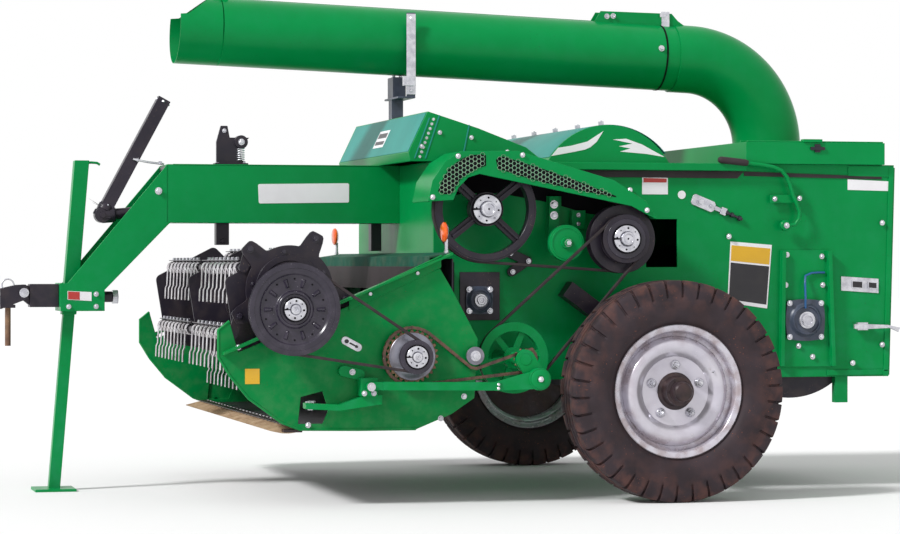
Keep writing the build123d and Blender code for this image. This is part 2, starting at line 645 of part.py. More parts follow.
# Hitch: a block that swivels in the nose, and the jaw bolted to it with its drop pin
bolt_x, bolt_z = -2608, 872
with BuildPart() as hitch_swivel:
    block((-2582, nose_x - 1), (-40, 40), (swivel_z - 44, swivel_z + 57))
    slab(((-2582, swivel_z + 50), (-2582, swivel_z - 36), (bolt_x, bolt_z - 34), (bolt_x - 34, bolt_z),
          (bolt_x, bolt_z + 34)), 20, 40)
    with BuildSketch(cross(nose_x - 2)):
        with Locations((0, swivel_z)):
            Circle(shaft_r)
    extrude(amount=nose_end_x - nose_x + 60)
    with BuildSketch(cross(nose_end_x + 1)):
        with Locations((0, swivel_z)):
            Circle(24)
    extrude(amount=44)
    disc(bolt_x, bolt_z, 12 + bore_gap, 60, 120, mode=Mode.SUBTRACT)
hitch_swivel.part.label = "hitch_swivel"
export_step(hitch_swivel.part, "parts/hitch_swivel.step")

jaw_pin_x = -2656
with BuildPart() as hitch_jaw:
    for y in (34, -21):
        slab(((hitch_tip_x, 890), (hitch_tip_x, 800), (-2588, 846), (-2584, 888), (-2600, 908), (-2640, 906)), y, 13)
    block((hitch_tip_x, -2644), (-34, 34), (860, 874))
    block((hitch_tip_x, -2644), (-34, 34), (806, 820))
    with BuildSketch(level(800)):
        with Locations((jaw_pin_x - 18, 0)):
            Circle(13)
    extrude(amount=100, mode=Mode.SUBTRACT)
    disc(bolt_x, bolt_z, 12, 46, 92)
hitch_jaw.part.label = "hitch_jaw"
export_step(hitch_jaw.part, "parts/hitch_jaw.step")

with BuildPart() as drop_pin:
    with BuildSketch(level(640)):
        with Locations((jaw_pin_x - 18, 0)):
            Circle(12.7)
    extrude(amount=156)
    # The shank is turned down a little where it passes the jaw
    with BuildSketch(level(796)):
        with Locations((jaw_pin_x - 18, 0)):
            Circle(12.5)
    extrude(amount=78)
    with BuildSketch(level(874)):
        with Locations((jaw_pin_x - 18, 0)):
            Circle(19)
    extrude(amount=9)
drop_pin.part.label = "drop_pin"
export_step(drop_pin.part, "parts/drop_pin.step")

# Input drive: line shaft in the beam, joint, and the square shaft strapped up for parking
joint_x, joint_z = -2261, 1213
yoke_reach = 54
with BuildPart() as line_shaft:
    run_end = (body_front - 20, 1310)
    slope = math.atan2(run_end[1] - joint_z, run_end[0] - joint_x)
    shaft_plane = Plane(origin=(axle_x + joint_x + yoke_reach, 0, joint_z + yoke_reach * math.tan(slope)),
                        x_dir=(0, 1, 0), z_dir=(math.cos(slope), 0, math.sin(slope)))
    with BuildSketch(shaft_plane):
        Circle(25)
    extrude(amount=(run_end[0] - joint_x - yoke_reach) / math.cos(slope))
    block((-1990, -1978), (-beam_half + plate, beam_half - plate), (beam_bottom + 14, beam_top - 8))
line_shaft.part.label = "line_shaft"
export_step(line_shaft.part, "parts/line_shaft.step")

with BuildPart() as drive_shaft:
    tip = (-1985, 1727)
    reach = math.atan2(tip[1] - joint_z, tip[0] - joint_x)
    rod_plane = Plane(origin=(axle_x + joint_x, 0, joint_z), x_dir=(0, 1, 0),
                      z_dir=(math.cos(reach), 0, math.sin(reach)))
    with BuildSketch(rod_plane.offset(40)):
        Rectangle(58, 58)
        Rectangle(48, 48, mode=Mode.SUBTRACT)
    extrude(amount=math.dist(tip, (joint_x, joint_z)) - 40)
    with BuildSketch(rod_plane.offset(18)):
        Circle(30)
    extrude(amount=24)
    disc(joint_x, joint_z, 34, 30, 60)
    with BuildSketch(shaft_plane.offset(-yoke_reach)):
        Circle(36)
    extrude(amount=yoke_reach)
drive_shaft.part.label = "drive_shaft"
export_step(drive_shaft.part, "parts/drive_shaft.step")

# Black posts below the beam and the small control on top of it
with BuildPart() as beam_posts:
    block((-1754, -1696), (-25, 25), (1082, beam_bottom))
    block((-1032, -984), (38, 92), (1056, beam_bottom))
    disc(-1725, 1100, 10, 34, 68)
beam_posts.part.label = "beam_posts"
export_step(beam_posts.part, "parts/beam_posts.step")

with BuildPart() as hand_control:
    block((-1760, -1610), (-30, 30), (beam_top, beam_top + 10))
    slab(((-1750, beam_top + 10), (-1630, beam_top + 10), (-1650, 1520), (-1600, 1560), (-1690, 1560), (-1700, 1612),
          (-1730, 1612), (-1750, 1540)), 8, 16)
    disc(-1640, 1540, 30, 22, 44)
hand_control.part.label = "hand_control"
export_step(hand_control.part, "parts/hand_control.step")

# Chute: elbow on its turning flange, long tube, and the hinged spout at its mouth
turn_mid_x = turn_x - turn_r
elbow_sweep = 90 - tube_tilt
pipe_wall = 6
with BuildPart() as chute_elbow:
    with BuildSketch(level(turn_z)):
        with Locations((turn_x, 0)):
            Circle(chute_r + pipe_wall)
            Circle(chute_r + fit, mode=Mode.SUBTRACT)
    revolve(axis=Axis((axle_x + turn_mid_x, 0, turn_z), (0, -1, 0)), revolution_arc=elbow_sweep)
    with BuildSketch(level(1532 + fit)):
        with Locations((turn_x, 0)):
            Circle(chute_r + 45)
            Circle(chute_r + fit, mode=Mode.SUBTRACT)
    extrude(amount=turn_z - 1532 - fit)
    tilt = math.radians(tube_tilt)
    exit_x = turn_mid_x + turn_r * math.sin(tilt)
    exit_z = turn_z + turn_r * math.cos(tilt)
    tube_plane = Plane(origin=(axle_x + exit_x, 0, exit_z), x_dir=(0, -1, 0), z_dir=(-math.cos(tilt), 0, math.sin(tilt)))
    with BuildSketch(tube_plane):
        Circle(chute_r + pipe_wall)
        Circle(chute_r + fit, mode=Mode.SUBTRACT)
    extrude(amount=90)
chute_elbow.part.label = "chute_elbow"
export_step(chute_elbow.part, "parts/chute_elbow.step")

tube_length = (exit_x - tube_end) / math.cos(tilt)
spout_pin_r, spout_pin_height, spout_pin_back = 5, 162, 8
spout_pin_x = exit_x - (tube_length - spout_pin_back) * math.cos(tilt) + spout_pin_height * math.sin(tilt)
spout_pin_z = exit_z + (tube_length - spout_pin_back) * math.sin(tilt) + spout_pin_height * math.cos(tilt)
with BuildPart() as chute_tube:
    with BuildSketch(tube_plane.offset(20)):
        Circle(chute_r)
        Circle(chute_r - chute_wall, mode=Mode.SUBTRACT)
    extrude(amount=tube_length - 20)
    # Ears and pin that the spout turns on
    for x in (-46, 46):
        with BuildSketch(tube_plane.offset(tube_length - 30)):
            with Locations((x, spout_pin_height)):
                Rectangle(8, 44)
        extrude(amount=34)
    disc(spout_pin_x, spout_pin_z, spout_pin_r, 50, 100)
    # Folding hinge plates on top, bolted to the elbow's collar
    with BuildSketch(tube_plane.offset(95)):
        with Locations((0, chute_r + 14)):
            Rectangle(70, 32)
    extrude(amount=330)
chute_tube.part.label = "chute_tube"
export_step(chute_tube.part, "parts/chute_tube.step")

spout_gap = 5
with BuildPart() as chute_spout:
    with BuildSketch(tube_plane.offset(tube_length + spout_gap)):
        Circle(chute_r)
        Circle(chute_r - chute_wall, mode=Mode.SUBTRACT)
    extrude(amount=(tube_end - spout_end) - spout_gap)
    slab(((tube_end - 20, 2240), (tube_end - 20, 2196), (spout_end + 40, 2098), (spout_end - 60, 2090),
          (spout_end - 60, 2240)), 200, 400, mode=Mode.SUBTRACT)
    # Knuckle on top, round the tube's pin
    disc(spout_pin_x, spout_pin_z, 11, 40, 80)
    with BuildSketch(tube_plane.offset(tube_length - spout_pin_back)):
        with Locations((0, spout_pin_height - 1)):
            Rectangle(80, 20)
    extrude(amount=40)
    with BuildSketch(tube_plane.offset(tube_length + spout_gap)):
        with Locations((0, chute_r - 4)):
            Rectangle(80, 12)
    extrude(amount=27)
    disc(spout_pin_x, spout_pin_z, spout_pin_r + bore_gap, 50, 100, mode=Mode.SUBTRACT)
chute_spout.part.label = "chute_spout"
export_step(chute_spout.part, "parts/chute_spout.step")

# Cradle that carries the tube in transport
with BuildPart() as chute_cradle:
    slab(((-953, 1650), (-900, 1633.6), (-900, 1736), (-953, 1736)), 30, 60)
    block((-960, -880), (-172, 80), (1736, 1744))
    block((-920, -880), (-172, -164), (1744, 2117))
    block((-950, -890), (-40, 60), (1744, 1838))
chute_cradle.part.label = "chute_cradle"
export_step(chute_cradle.part, "parts/chute_cradle.step")

# Reflectors on their stalks, the side lever, the door latch and the stub below the rear corner
with BuildPart() as reflectors:
    for hand in (-1, 1):
        y = hand * (header_inner - 22)
        block((-972, -964), (y - 10, y + 10), (1043, 1172))
        with BuildSketch(cross(-986)):
            with Locations((y, 1130)):
                Circle(41)
        extrude(amount=14)
reflectors.part.label = "reflectors"
export_step(reflectors.part, "parts/reflectors.step")

with BuildPart() as side_lever:
    bar((640, 1432), (350, 1460), 16, -body_half - 32, 14)
    bar((640, 1432), (693, 1318), 16, -body_half - 32, 14)
    bar((693, 1318), (672, 1200), 22, -body_half - 32, 14)
    disc(668, 1180, 26, -body_half, 50)
    slab(((580, 1270), (750, 1270), (750, 1300), (580, 1300)), -body_half, 32)
side_lever.part.label = "side_lever"
export_step(side_lever.part, "parts/side_lever.step")

with BuildPart() as side_fittings:
    # Latch bar at the rear edge
    slab(((976, 712), (1150, 712), (1150, 732), (976, 732)), -body_half, 20)
    # Tension slide on the wall
    slab(((227, 1272), (464, 1178), (474, 1204), (237, 1298)), -body_half, 14)
side_fittings.part.label = "side_fittings"
export_step(side_fittings.part, "parts/side_fittings.step")

with BuildPart() as rear_stub:
    for y in (-body_inner + 4, fan_half + 2):
        block((905, 965), (y, y + 36), (385, body_floor))
rear_stub.part.label = "rear_stub"
export_step(rear_stub.part, "parts/rear_stub.step")
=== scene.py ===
# %% [markdown]
# # A trailed straw reaper
# The machine follows a tractor, picks up straw with a tined reel over a knife, and blows it out of a long chute. The
# frame that is loaded here holds every piece at its real size. This script gives the pieces their finish and adds
# what is too fine for the frame: springs, chain links, ribs, bolts, vents and worn paint.

# %% Load the frame
import json
import math

import bmesh
import bpy
import numpy as np
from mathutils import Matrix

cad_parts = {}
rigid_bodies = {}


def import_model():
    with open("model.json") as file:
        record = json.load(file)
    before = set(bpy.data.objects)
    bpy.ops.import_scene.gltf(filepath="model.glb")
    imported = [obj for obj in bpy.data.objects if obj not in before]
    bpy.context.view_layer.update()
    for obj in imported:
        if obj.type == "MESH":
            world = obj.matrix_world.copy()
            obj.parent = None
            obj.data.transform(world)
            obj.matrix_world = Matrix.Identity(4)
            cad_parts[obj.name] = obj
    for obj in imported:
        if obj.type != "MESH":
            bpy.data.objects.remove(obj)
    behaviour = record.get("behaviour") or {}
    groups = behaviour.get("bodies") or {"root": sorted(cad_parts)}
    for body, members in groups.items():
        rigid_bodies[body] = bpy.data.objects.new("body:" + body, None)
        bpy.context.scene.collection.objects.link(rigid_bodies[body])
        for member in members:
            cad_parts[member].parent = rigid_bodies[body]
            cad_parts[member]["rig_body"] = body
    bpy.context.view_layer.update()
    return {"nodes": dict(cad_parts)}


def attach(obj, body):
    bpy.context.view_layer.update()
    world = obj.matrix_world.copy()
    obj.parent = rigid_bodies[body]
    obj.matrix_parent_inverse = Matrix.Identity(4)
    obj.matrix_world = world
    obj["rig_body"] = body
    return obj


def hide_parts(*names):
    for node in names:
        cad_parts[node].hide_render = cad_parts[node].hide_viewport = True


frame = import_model()
nodes = frame["nodes"]

# %% [markdown]
# ## Colours and nodes
# Paint shops give colours as hex codes, which are sRGB, while shaders work in linear light. One function turns one
# into the other. A second adds a shader node with its settings, values and links, so a material reads as a list.

# %% Colour and node helpers
def linear(code):
    """Red, green, blue and alpha in linear light: each channel of the hex code goes through the sRGB curve."""
    srgb = np.array([int(code[k:k + 2], 16) for k in (1, 3, 5)]) / 255
    rgb = np.where(srgb <= 0.04045, srgb / 12.92, ((srgb + 0.055) / 1.055) ** 2.4)
    return (*rgb.tolist(), 1.0)


def add(tree, kind, feeds=None, **settings):
    """Adds a node: settings are its properties, feeds its inputs by name or number, as values or as sockets."""
    made = tree.nodes.new(kind)
    for key, value in settings.items():
        setattr(made, key, value)
    for key, value in (feeds or {}).items():
        if isinstance(value, bpy.types.NodeSocket):
            tree.links.new(value, made.inputs[key])
        else:
            made.inputs[key].default_value = value
    return made


def patches(tree, where, size, start, stop, detail=3.0):
    """Soft patches about size mm across: noise with all below start made 0 and all above stop made 1."""
    noise = add(tree, "ShaderNodeTexNoise", {"Vector": where, "Scale": 1000 / size, "Detail": detail})
    spread = {"Value": noise.outputs["Fac"], "From Min": start, "From Max": stop}
    return add(tree, "ShaderNodeMapRange", spread, interpolation_type="SMOOTHSTEP").outputs["Result"]


def mixed(tree, share, under, over):
    """One colour over another by a share of 0 to 1."""
    return add(tree, "ShaderNodeMix", {"Factor": share, 6: under, 7: over}, data_type="RGBA").outputs[2]


# %% [markdown]
# ## Finishes
# Most of the machine is sprayed or dipped steel that has stood in a yard: a base colour with broad uneven patches,
# dust that gathers low down and on faces that look up, and small chips down to primer or rust. On the green enamel the
# dust colour is a teal that also paints a sky sheen onto faces that look up. One function builds all of that from four
# colours. The grain and patch sizes are real sizes in millimetres.

# %% The weathered finish
def weathered(name, base, patch, dust, chip, *, metal=0.0, rough=(0.3, 0.55), dusty=0.5, chips=0.5, patch_size=170,
              grain=3.0, grain_depth=0.06, shine=0.5, ring=None):
    """A finish from four colours: patches over the base, dust by height, by slope or in a ring, then small chips; a
    teal dust colour on faces that look up is a painted sky sheen.
    """
    made = bpy.data.materials.new(name)
    made.use_nodes = True
    tree = made.node_tree
    tree.nodes.clear()
    coords = add(tree, "ShaderNodeTexCoord")
    where = coords.outputs["Object"]
    colour = mixed(tree, patches(tree, where, patch_size, 0.3, 0.7), linear(base), linear(patch))
    # Dust: more on low places and on faces that look up, broken by noise. With the green enamel's teal dust colour this
    # is also a painted sky sheen on the faces that look up
    split = add(tree, "ShaderNodeSeparateXYZ", {"Vector": where})
    if ring:
        # Distance from the wheel's axis, with the wheel's middle at x 0.76 m and z 0.465 m
        off = add(tree, "ShaderNodeVectorMath", {0: where, 1: (-0.76, 0, -0.465)}, operation="ADD")
        flat = add(tree, "ShaderNodeVectorMath", {0: off.outputs[0], 1: (1, 0, 1)}, operation="MULTIPLY")
        reach = add(tree, "ShaderNodeVectorMath", {0: flat.outputs[0]}, operation="LENGTH").outputs["Value"]
        low = add(tree, "ShaderNodeMapRange", {"Value": reach, "From Min": ring[0], "From Max": ring[1],
                                               "To Min": 0.15, "To Max": 1.0}).outputs["Result"]
    else:
        low = add(tree, "ShaderNodeMapRange", {"Value": split.outputs["Z"], "From Min": 1.3, "From Max": 0.2,
                                               "To Min": 0.25, "To Max": 1.0}).outputs["Result"]
    slope = add(tree, "ShaderNodeSeparateXYZ", {"Vector": coords.outputs["Normal"]})
    upward_dust_and_sheen = add(tree, "ShaderNodeMapRange", {"Value": slope.outputs["Z"], "From Min": 0.5, "From Max": 1.0,
                                              "To Max": 0.5}).outputs["Result"]
    amount = add(tree, "ShaderNodeMath", {0: low, 1: upward_dust_and_sheen}, operation="MAXIMUM").outputs[0]
    broken = patches(tree, where, 55, 0.38, 0.72, 5.0)
    amount = add(tree, "ShaderNodeMath", {0: amount, 1: broken}, operation="MULTIPLY").outputs[0]
    amount = add(tree, "ShaderNodeMath", {0: amount, 1: dusty}, operation="MULTIPLY").outputs[0]
    colour = mixed(tree, amount, colour, linear(dust))
    # Chips a few millimetres across, in groups
    spots = patches(tree, where, 7, 0.66, 0.70)
    group = patches(tree, where, 90, 0.50, 0.62)
    worn = add(tree, "ShaderNodeMath", {0: spots, 1: group}, operation="MULTIPLY").outputs[0]
    worn = add(tree, "ShaderNodeMath", {0: worn, 1: chips}, operation="MULTIPLY").outputs[0]
    colour = mixed(tree, worn, colour, linear(chip))
    dull = add(tree, "ShaderNodeMath", {0: amount, 1: worn}, operation="MAXIMUM").outputs[0]
    gloss = add(tree, "ShaderNodeMapRange", {"Value": dull, "To Min": rough[0], "To Max": rough[1]}).outputs["Result"]
    fine = add(tree, "ShaderNodeTexNoise", {"Vector": where, "Scale": 1000 / grain, "Detail": 2.0})
    bump = add(tree, "ShaderNodeBump", {"Height": fine.outputs["Fac"], "Strength": 0.5,
                                        "Distance": grain_depth / 1000})
    shader = add(tree, "ShaderNodeBsdfPrincipled", {"Base Color": colour, "Metallic": metal, "Roughness": gloss,
                                                    "Specular IOR Level": shine,
                                                    "Normal": bump.outputs["Normal"]})
    add(tree, "ShaderNodeOutputMaterial", {"Surface": shader.outputs[0]})
    return made


# %% The machine's finishes
finish = {
    # Green machine enamel, sprayed and baked: a deep even gloss that only a little dust breaks. Its dust colour is a
    # teal that also stands for a painted sky sheen on faces that look up
    "green": weathered("green_enamel", "#008C46", "#008542", "#2F9068", "#2E3A2C", rough=(0.3, 0.55), dusty=0.3,
                       chips=0.4, patch_size=260, shine=0.12),
    # The same enamel low on the header, where straw and soil rub it dull
    "green_worn": weathered("rubbed_green_enamel", "#00843F", "#007A3B", "#4F8A58", "#5A4632", rough=(0.28, 0.6),
                            dusty=0.35, chips=0.9, patch_size=220, shine=0.12),
    # The deck over the header: a darker, bluer green than the enamel elsewhere, dull and dusty
    "green_deck": weathered("dark_dusty_deck_enamel", "#1B5C4C", "#24503F", "#6B7466", "#4A3A2E", rough=(0.6, 0.85),
                            dusty=0.7, chips=0.8, patch_size=140, shine=0.04),
    # Painted sky reflection: green enamel tinted blue for sheet that faces the sky, standing for the sky it mirrors
    "painted_sky_sheen_green": weathered("painted_sky_sheen_enamel", "#2A8F86", "#24857C", "#5A9A90", "#2E3A2C", rough=(0.42, 0.6),
                             dusty=0.25, chips=0.3, patch_size=260, shine=0.15),
    # Pierced mesh of the vents, where chaff dust and bare edges make the enamel pale
    "web": weathered("dusty_pierced_enamel", "#7FA98A", "#6C9C7C", "#B8B79C", "#4A5A48", rough=(0.4, 0.7), dusty=0.9,
                     chips=0.5, patch_size=60, shine=0.3),
    # Black chassis enamel, thin, with a purple cast in daylight
    "black": weathered("black_enamel", "#231F2A", "#2B2631", "#564A46", "#7A6858", rough=(0.32, 0.6), dusty=0.4,
                       chips=0.7, shine=0.3),
    # Pressed sheet pulley in black stoving paint, smoother and bluer than the chassis
    "pressed": weathered("stoved_pulley_paint", "#231E2C", "#2A2533", "#5A5260", "#8F8A94", rough=(0.22, 0.5),
                         dusty=0.35, chips=0.6, shine=0.5),
    # Silver wheel enamel, with a pinkish-brown film of road dust in its corners
    "silver": weathered("silver_wheel_enamel", "#CDC9D2", "#C3BFCB", "#8E746C", "#6E5449", metal=0.5,
                        rough=(0.2, 0.5), dusty=0.6, chips=0.6, patch_size=110, ring=(0.19, 0.25)),
    # Guard disc beside the chain: thin zinc over steel, dulled by oil
    "dull_zinc": weathered("oiled_zinc_plate", "#8C8C98", "#767682", "#6E6058", "#5A463A", metal=0.6,
                           rough=(0.3, 0.55), dusty=0.4, chips=0.5, patch_size=40),
    # Cast hub under brown-black primer and grease
    "hub": weathered("greasy_cast_iron", "#271C1F", "#33252A", "#5A4238", "#8A7A70", metal=0.3, rough=(0.35, 0.7),
                     dusty=0.45, chips=0.6, patch_size=40, grain=4.0, grain_depth=0.3),
    # Zinc-plated fasteners and rods: bright, with a faint blue and grey bloom
    "zinc": weathered("zinc_plate", "#DCDCE2", "#B9B9C2", "#8E857C", "#6A5548", metal=0.75, rough=(0.22, 0.5),
                      dusty=0.3, chips=0.4, patch_size=30),
    # Oil-tempered spring wire, polished by the straw
    "spring": weathered("polished_spring_wire", "#E6E4E8", "#B5B0B6", "#8A7462", "#5E4434", metal=0.7,
                        rough=(0.2, 0.5), dusty=0.45, chips=0.7, patch_size=45),
    # Cast bearing housings in blue-grey machine paint
    "bearing": weathered("blue_grey_casting_paint", "#3A4252", "#485062", "#6A6668", "#3A3634", rough=(0.35, 0.6),
                         dusty=0.35, chips=0.5, patch_size=40, grain=3.0, grain_depth=0.2, shine=0.4),
    # Bare forged steel that has rusted and been rubbed bright again on its high places
    "rust": weathered("rubbed_rusty_steel", "#5A4238", "#7A5A44", "#A98B68", "#C0A88C", metal=0.35, rough=(0.45, 0.75),
                      dusty=0.6, chips=0.8, patch_size=35, grain=2.0, grain_depth=0.25),
    # Knife guards, malleable iron with a tan skin of soil and straw dust
    "guard_iron": weathered("dusty_malleable_iron", "#B89C7C", "#9A7A5C", "#CDB394", "#5E4434", metal=0.1,
                            rough=(0.5, 0.8), dusty=0.6, chips=0.8, patch_size=40, grain=2.0, grain_depth=0.25),
    # Roller chain: oiled steel with rust between the links
    "chain": weathered("oiled_chain_steel", "#4A3C38", "#6A5044", "#7E6450", "#B0A49A", metal=0.5, rough=(0.3, 0.6),
                       dusty=0.5, chips=0.6, patch_size=25),
    # Rubber V-belts, with a fabric cover that dust makes grey-brown
    "belt": weathered("fabric_covered_belt_rubber", "#2B2527", "#352D30", "#5A5050", "#1E1A1B", rough=(0.6, 0.85),
                      dusty=0.45, chips=0.4, grain=1.5, grain_depth=0.15, shine=0.25),
    # Tyre rubber: carbon-black compound, browned by dried soil that sits thickest on the tread blocks
    "tyre": weathered("soiled_tyre_rubber", "#2D2428", "#382E33", "#6E4A42", "#9A5A40", rough=(0.65, 0.9), dusty=0.6,
                      chips=0.8, patch_size=120, grain=5.0, grain_depth=0.6, shine=0.25, ring=(0.33, 0.47)),
    # Blank vinyl plates: even, a little glossy
    "white": weathered("white_vinyl_plate", "#F0EFF2", "#E8E6EA", "#CFCAC2", "#A8A298", rough=(0.35, 0.5), dusty=0.15,
                       chips=0.1),
    "yellow": weathered("yellow_vinyl_plate", "#E0AE22", "#D6A41E", "#A8925C", "#6B5A2C", rough=(0.35, 0.5), dusty=0.2,
                        chips=0.2),
    "ink": weathered("black_vinyl_plate", "#17141A", "#1D1A20", "#4A4542", "#3A3634", rough=(0.35, 0.5), dusty=0.2,
                     chips=0.2),
    "red": weathered("red_vinyl_plate", "#C0342C", "#B02E28", "#9A6A5C", "#6B2C24", rough=(0.35, 0.5), dusty=0.2,
                     chips=0.2),
    # Reflector lens: moulded acrylic with prisms behind a smooth face
    "amber": weathered("amber_acrylic_lens", "#E0500F", "#EE6A1E", "#A8683C", "#8A3A12", rough=(0.1, 0.3), dusty=0.2,
                       chips=0.1, patch_size=20, grain=4.0, grain_depth=0.4),
    # Nylon grease line
    "hose": weathered("blue_nylon_hose", "#1F62A0", "#1B568C", "#6A7A84", "#1C3A54", rough=(0.3, 0.5), dusty=0.2,
                      chips=0.1),
    # Painted shade: flat black for the shadowed insides behind the vents, the inlet, the guard and small holes, and for
    # the dark seam where the chute's lengths meet
    "dark": weathered("painted_shade_and_seam_black", "#0C0B0F", "#110F14", "#1E1C20", "#0A0A0A", rough=(0.8, 0.95), dusty=0.3,
                      chips=0.1, shine=0.1),
}

# %% [markdown]
# ## Shapes
# Each new piece is worked out in millimetres with numpy, in a local frame whose third axis points out of the
# machine, and is then set on its place. A shape is a pair: its points, and groups of faces. Whole grids and whole
# rows of copies are made as arrays, so nothing loops over single points.

# %% Surfaces
axle_x = 760


def skin(grid, around=False, along=False):
    """Quads over a grid of points; around joins the last column to the first, along the last row to the first."""
    rows, columns = grid.shape[:2]
    index = np.arange(rows * columns).reshape(rows, columns)
    if along:
        index = np.vstack([index, index[:1]])
    if around:
        index = np.hstack([index, index[:, :1]])
    quads = np.stack([index[:-1, :-1], index[1:, :-1], index[1:, 1:], index[:-1, 1:]], axis=-1)
    return grid.reshape(-1, 3), [quads.reshape(-1, 4)]


def turned(profile, sides=48, ring=False):
    """Profile of (out, radius) pairs turned about the out axis: x = r cos t, y = r sin t; a ring closes on itself."""
    out, radius = np.array(profile, float).T
    turn = np.arange(sides) * 2 * math.pi / sides
    grid = np.stack([np.outer(radius, np.cos(turn)), np.outer(radius, np.sin(turn)),
                     np.repeat(out[:, None], sides, axis=1)], axis=-1)
    return skin(grid, around=True, along=ring)


def prism(outline, low, high):
    """The outline carried straight out from low to high, with a face at each end."""
    outline = np.array(outline, float)
    count = len(outline)
    levels = [np.column_stack([outline, np.full(count, level)]) for level in (low, high)]
    ring = np.arange(count)
    nearby = np.roll(ring, -1)
    walls = np.column_stack([ring, nearby, nearby + count, ring + count])
    return np.vstack(levels), [walls, np.array([ring[::-1], ring + count])]


def box(a, b, c):
    """A block between pairs of limits in the local frame."""
    return prism(((a[0], b[0]), (a[1], b[0]), (a[1], b[1]), (a[0], b[1])), *c)


def swept(path, radius, sides=8, closed=False, lean=(0.31, 0.87, 0.38)):
    """A round rod along a path: at each point a ring square to the path, by cross products with a leaning vector."""
    path = np.array(path, float)
    ahead = np.roll(path, -1, axis=0) - np.roll(path, 1, axis=0) if closed else np.gradient(path, axis=0)
    ahead /= np.linalg.norm(ahead, axis=1, keepdims=True)
    across = np.cross(ahead, lean)
    across /= np.linalg.norm(across, axis=1, keepdims=True)
    up = np.cross(across, ahead)
    turn = np.arange(sides) * 2 * math.pi / sides
    radius = np.broadcast_to(radius, len(path))[:, None, None]
    grid = path[:, None] + radius * (np.cos(turn)[None, :, None] * across[:, None]
                                     + np.sin(turn)[None, :, None] * up[:, None])
    points, faces = skin(grid, around=True, along=closed)
    if not closed:
        ring = np.arange(sides)
        faces.append(np.array([ring[::-1], ring + len(points) - sides]))
    return points, faces


# %% Joining, copying and placing shapes
def joined(*shapes):
    """Several shapes as one: the face numbers of each go up by the points before it."""
    points, faces, start = [], [], 0
    for shape_points, shape_faces in shapes:
        points.append(shape_points)
        faces += [group + start for group in shape_faces]
        start += len(shape_points)
    return np.vstack(points), faces


def copies(shape, grids):
    """Copies of a shape whose points are already worked out: grids is (copy, point, 3)."""
    steps = np.arange(len(grids))[:, None, None] * len(shape[0])
    return grids.reshape(-1, 3), [(group[None] + steps).reshape(-1, group.shape[1]) for group in shape[1]]


def scattered(shape, spots):
    """A copy of the shape moved to each spot."""
    spots = np.array(spots, float)
    if spots.shape[1] == 2:
        spots = np.column_stack([spots, np.zeros(len(spots))])
    return copies(shape, shape[0][None] + spots[:, None])


def spun(shape, count, start=0.0):
    """Copies turned about the out axis by equal angles, the first by start degrees."""
    turn = math.radians(start) + np.arange(count) * 2 * math.pi / count
    cos, sin = np.cos(turn)[:, None], np.sin(turn)[:, None]
    x, y, out = shape[0].T
    return copies(shape, np.stack([x * cos - y * sin, x * sin + y * cos, out + 0 * cos], axis=-1))


def at(shape, origin, out=(0, -1, 0), right=(1, 0, 0)):
    """Sets a local shape on the machine: its first axis along right, its third along out, the second square to both."""
    out, right = np.array(out, float), np.array(right, float)
    out, right = out / np.linalg.norm(out), right / np.linalg.norm(right)
    axes = np.array([right, np.cross(out, right), out])
    return shape[0] @ axes + np.array(origin, float), shape[1]


def shifted(shape, step):
    """The shape moved by a step, with its faces as they are."""
    return shape[0] + step, shape[1]


def in_row(spots):
    """Places on the machine's cross axis, as points: (0, y, 0) for each y."""
    return np.column_stack([0 * spots, spots, 0 * spots])


def far(shape, origin):
    """Sets a local shape on the right-hand side of the machine, facing outwards there."""
    return at(shape, origin, (0, 1, 0), (-1, 0, 0))


def mirrored(shape):
    """The same shape on the other side of the machine's middle plane."""
    return shape[0] * (1, -1, 1), shape[1]


# %% Making pieces
def finished(name, mesh, body, look, smooth, bevel, replaces):
    """Puts the mesh in an object at the origin with its finish, its body and the nodes it stands for."""
    mesh.materials.append(finish[look])
    mesh.polygons.foreach_set("use_smooth", np.ones(len(mesh.polygons), bool))
    mesh.set_sharp_from_angle(angle=math.radians(smooth))
    piece = bpy.data.objects.new(name, mesh)
    bpy.context.scene.collection.objects.link(piece)
    if bevel:
        edge = piece.modifiers.new("edges", "BEVEL")
        edge.width = bevel / 1000
        edge.segments = 2
        edge.limit_method = "ANGLE"
        edge.angle_limit = math.radians(38)
        edge.use_clamp_overlap = False
        edge.harden_normals = True
    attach(piece, body)
    if replaces:
        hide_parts(*replaces)
    return piece


def merged(mesh, flat=0.0):
    """Merges doubled points, joins faces that lie in one plane if asked, and turns the normals outwards."""
    work = bmesh.new()
    work.from_mesh(mesh)
    bmesh.ops.remove_doubles(work, verts=work.verts, dist=2e-5)
    if flat:
        bmesh.ops.dissolve_limit(work, angle_limit=math.radians(flat), verts=work.verts, edges=work.edges)
    bmesh.ops.recalc_face_normals(work, faces=work.faces)
    work.to_mesh(mesh)
    work.free()


def place(name, shape, look, body="chassis", smooth=35, bevel=0.0, replaces=()):
    """Makes a piece of a shape in mm from the axle's middle, as metres, with its finish and its body."""
    points, faces = shape
    mesh = bpy.data.meshes.new(name)
    rows = [row for group in faces for row in group.tolist()]
    mesh.from_pydata(((points + (axle_x, 0, 0)) / 1000).tolist(), [], rows)
    merged(mesh)
    return finished(name, mesh, body, look, smooth, bevel, replaces)


def dress(node, look, bevel=1.5, smooth=35):
    """A copy of a frame node's mesh with its triangles joined into faces and its edges softened."""
    source = nodes[node]
    count, corners = len(source.data.vertices), len(source.data.loops)
    points, index = np.empty(count * 3, np.float32), np.empty(corners, np.int32)
    source.data.vertices.foreach_get("co", points)
    source.data.loops.foreach_get("vertex_index", index)
    mesh = bpy.data.meshes.new(node + "_skin")
    mesh.from_pydata(points.reshape(-1, 3).tolist(), [], index.reshape(-1, 3).tolist())
    merged(mesh, 0.6)
    return finished(node + "_skin", mesh, source["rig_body"], look, smooth, bevel, (node,))


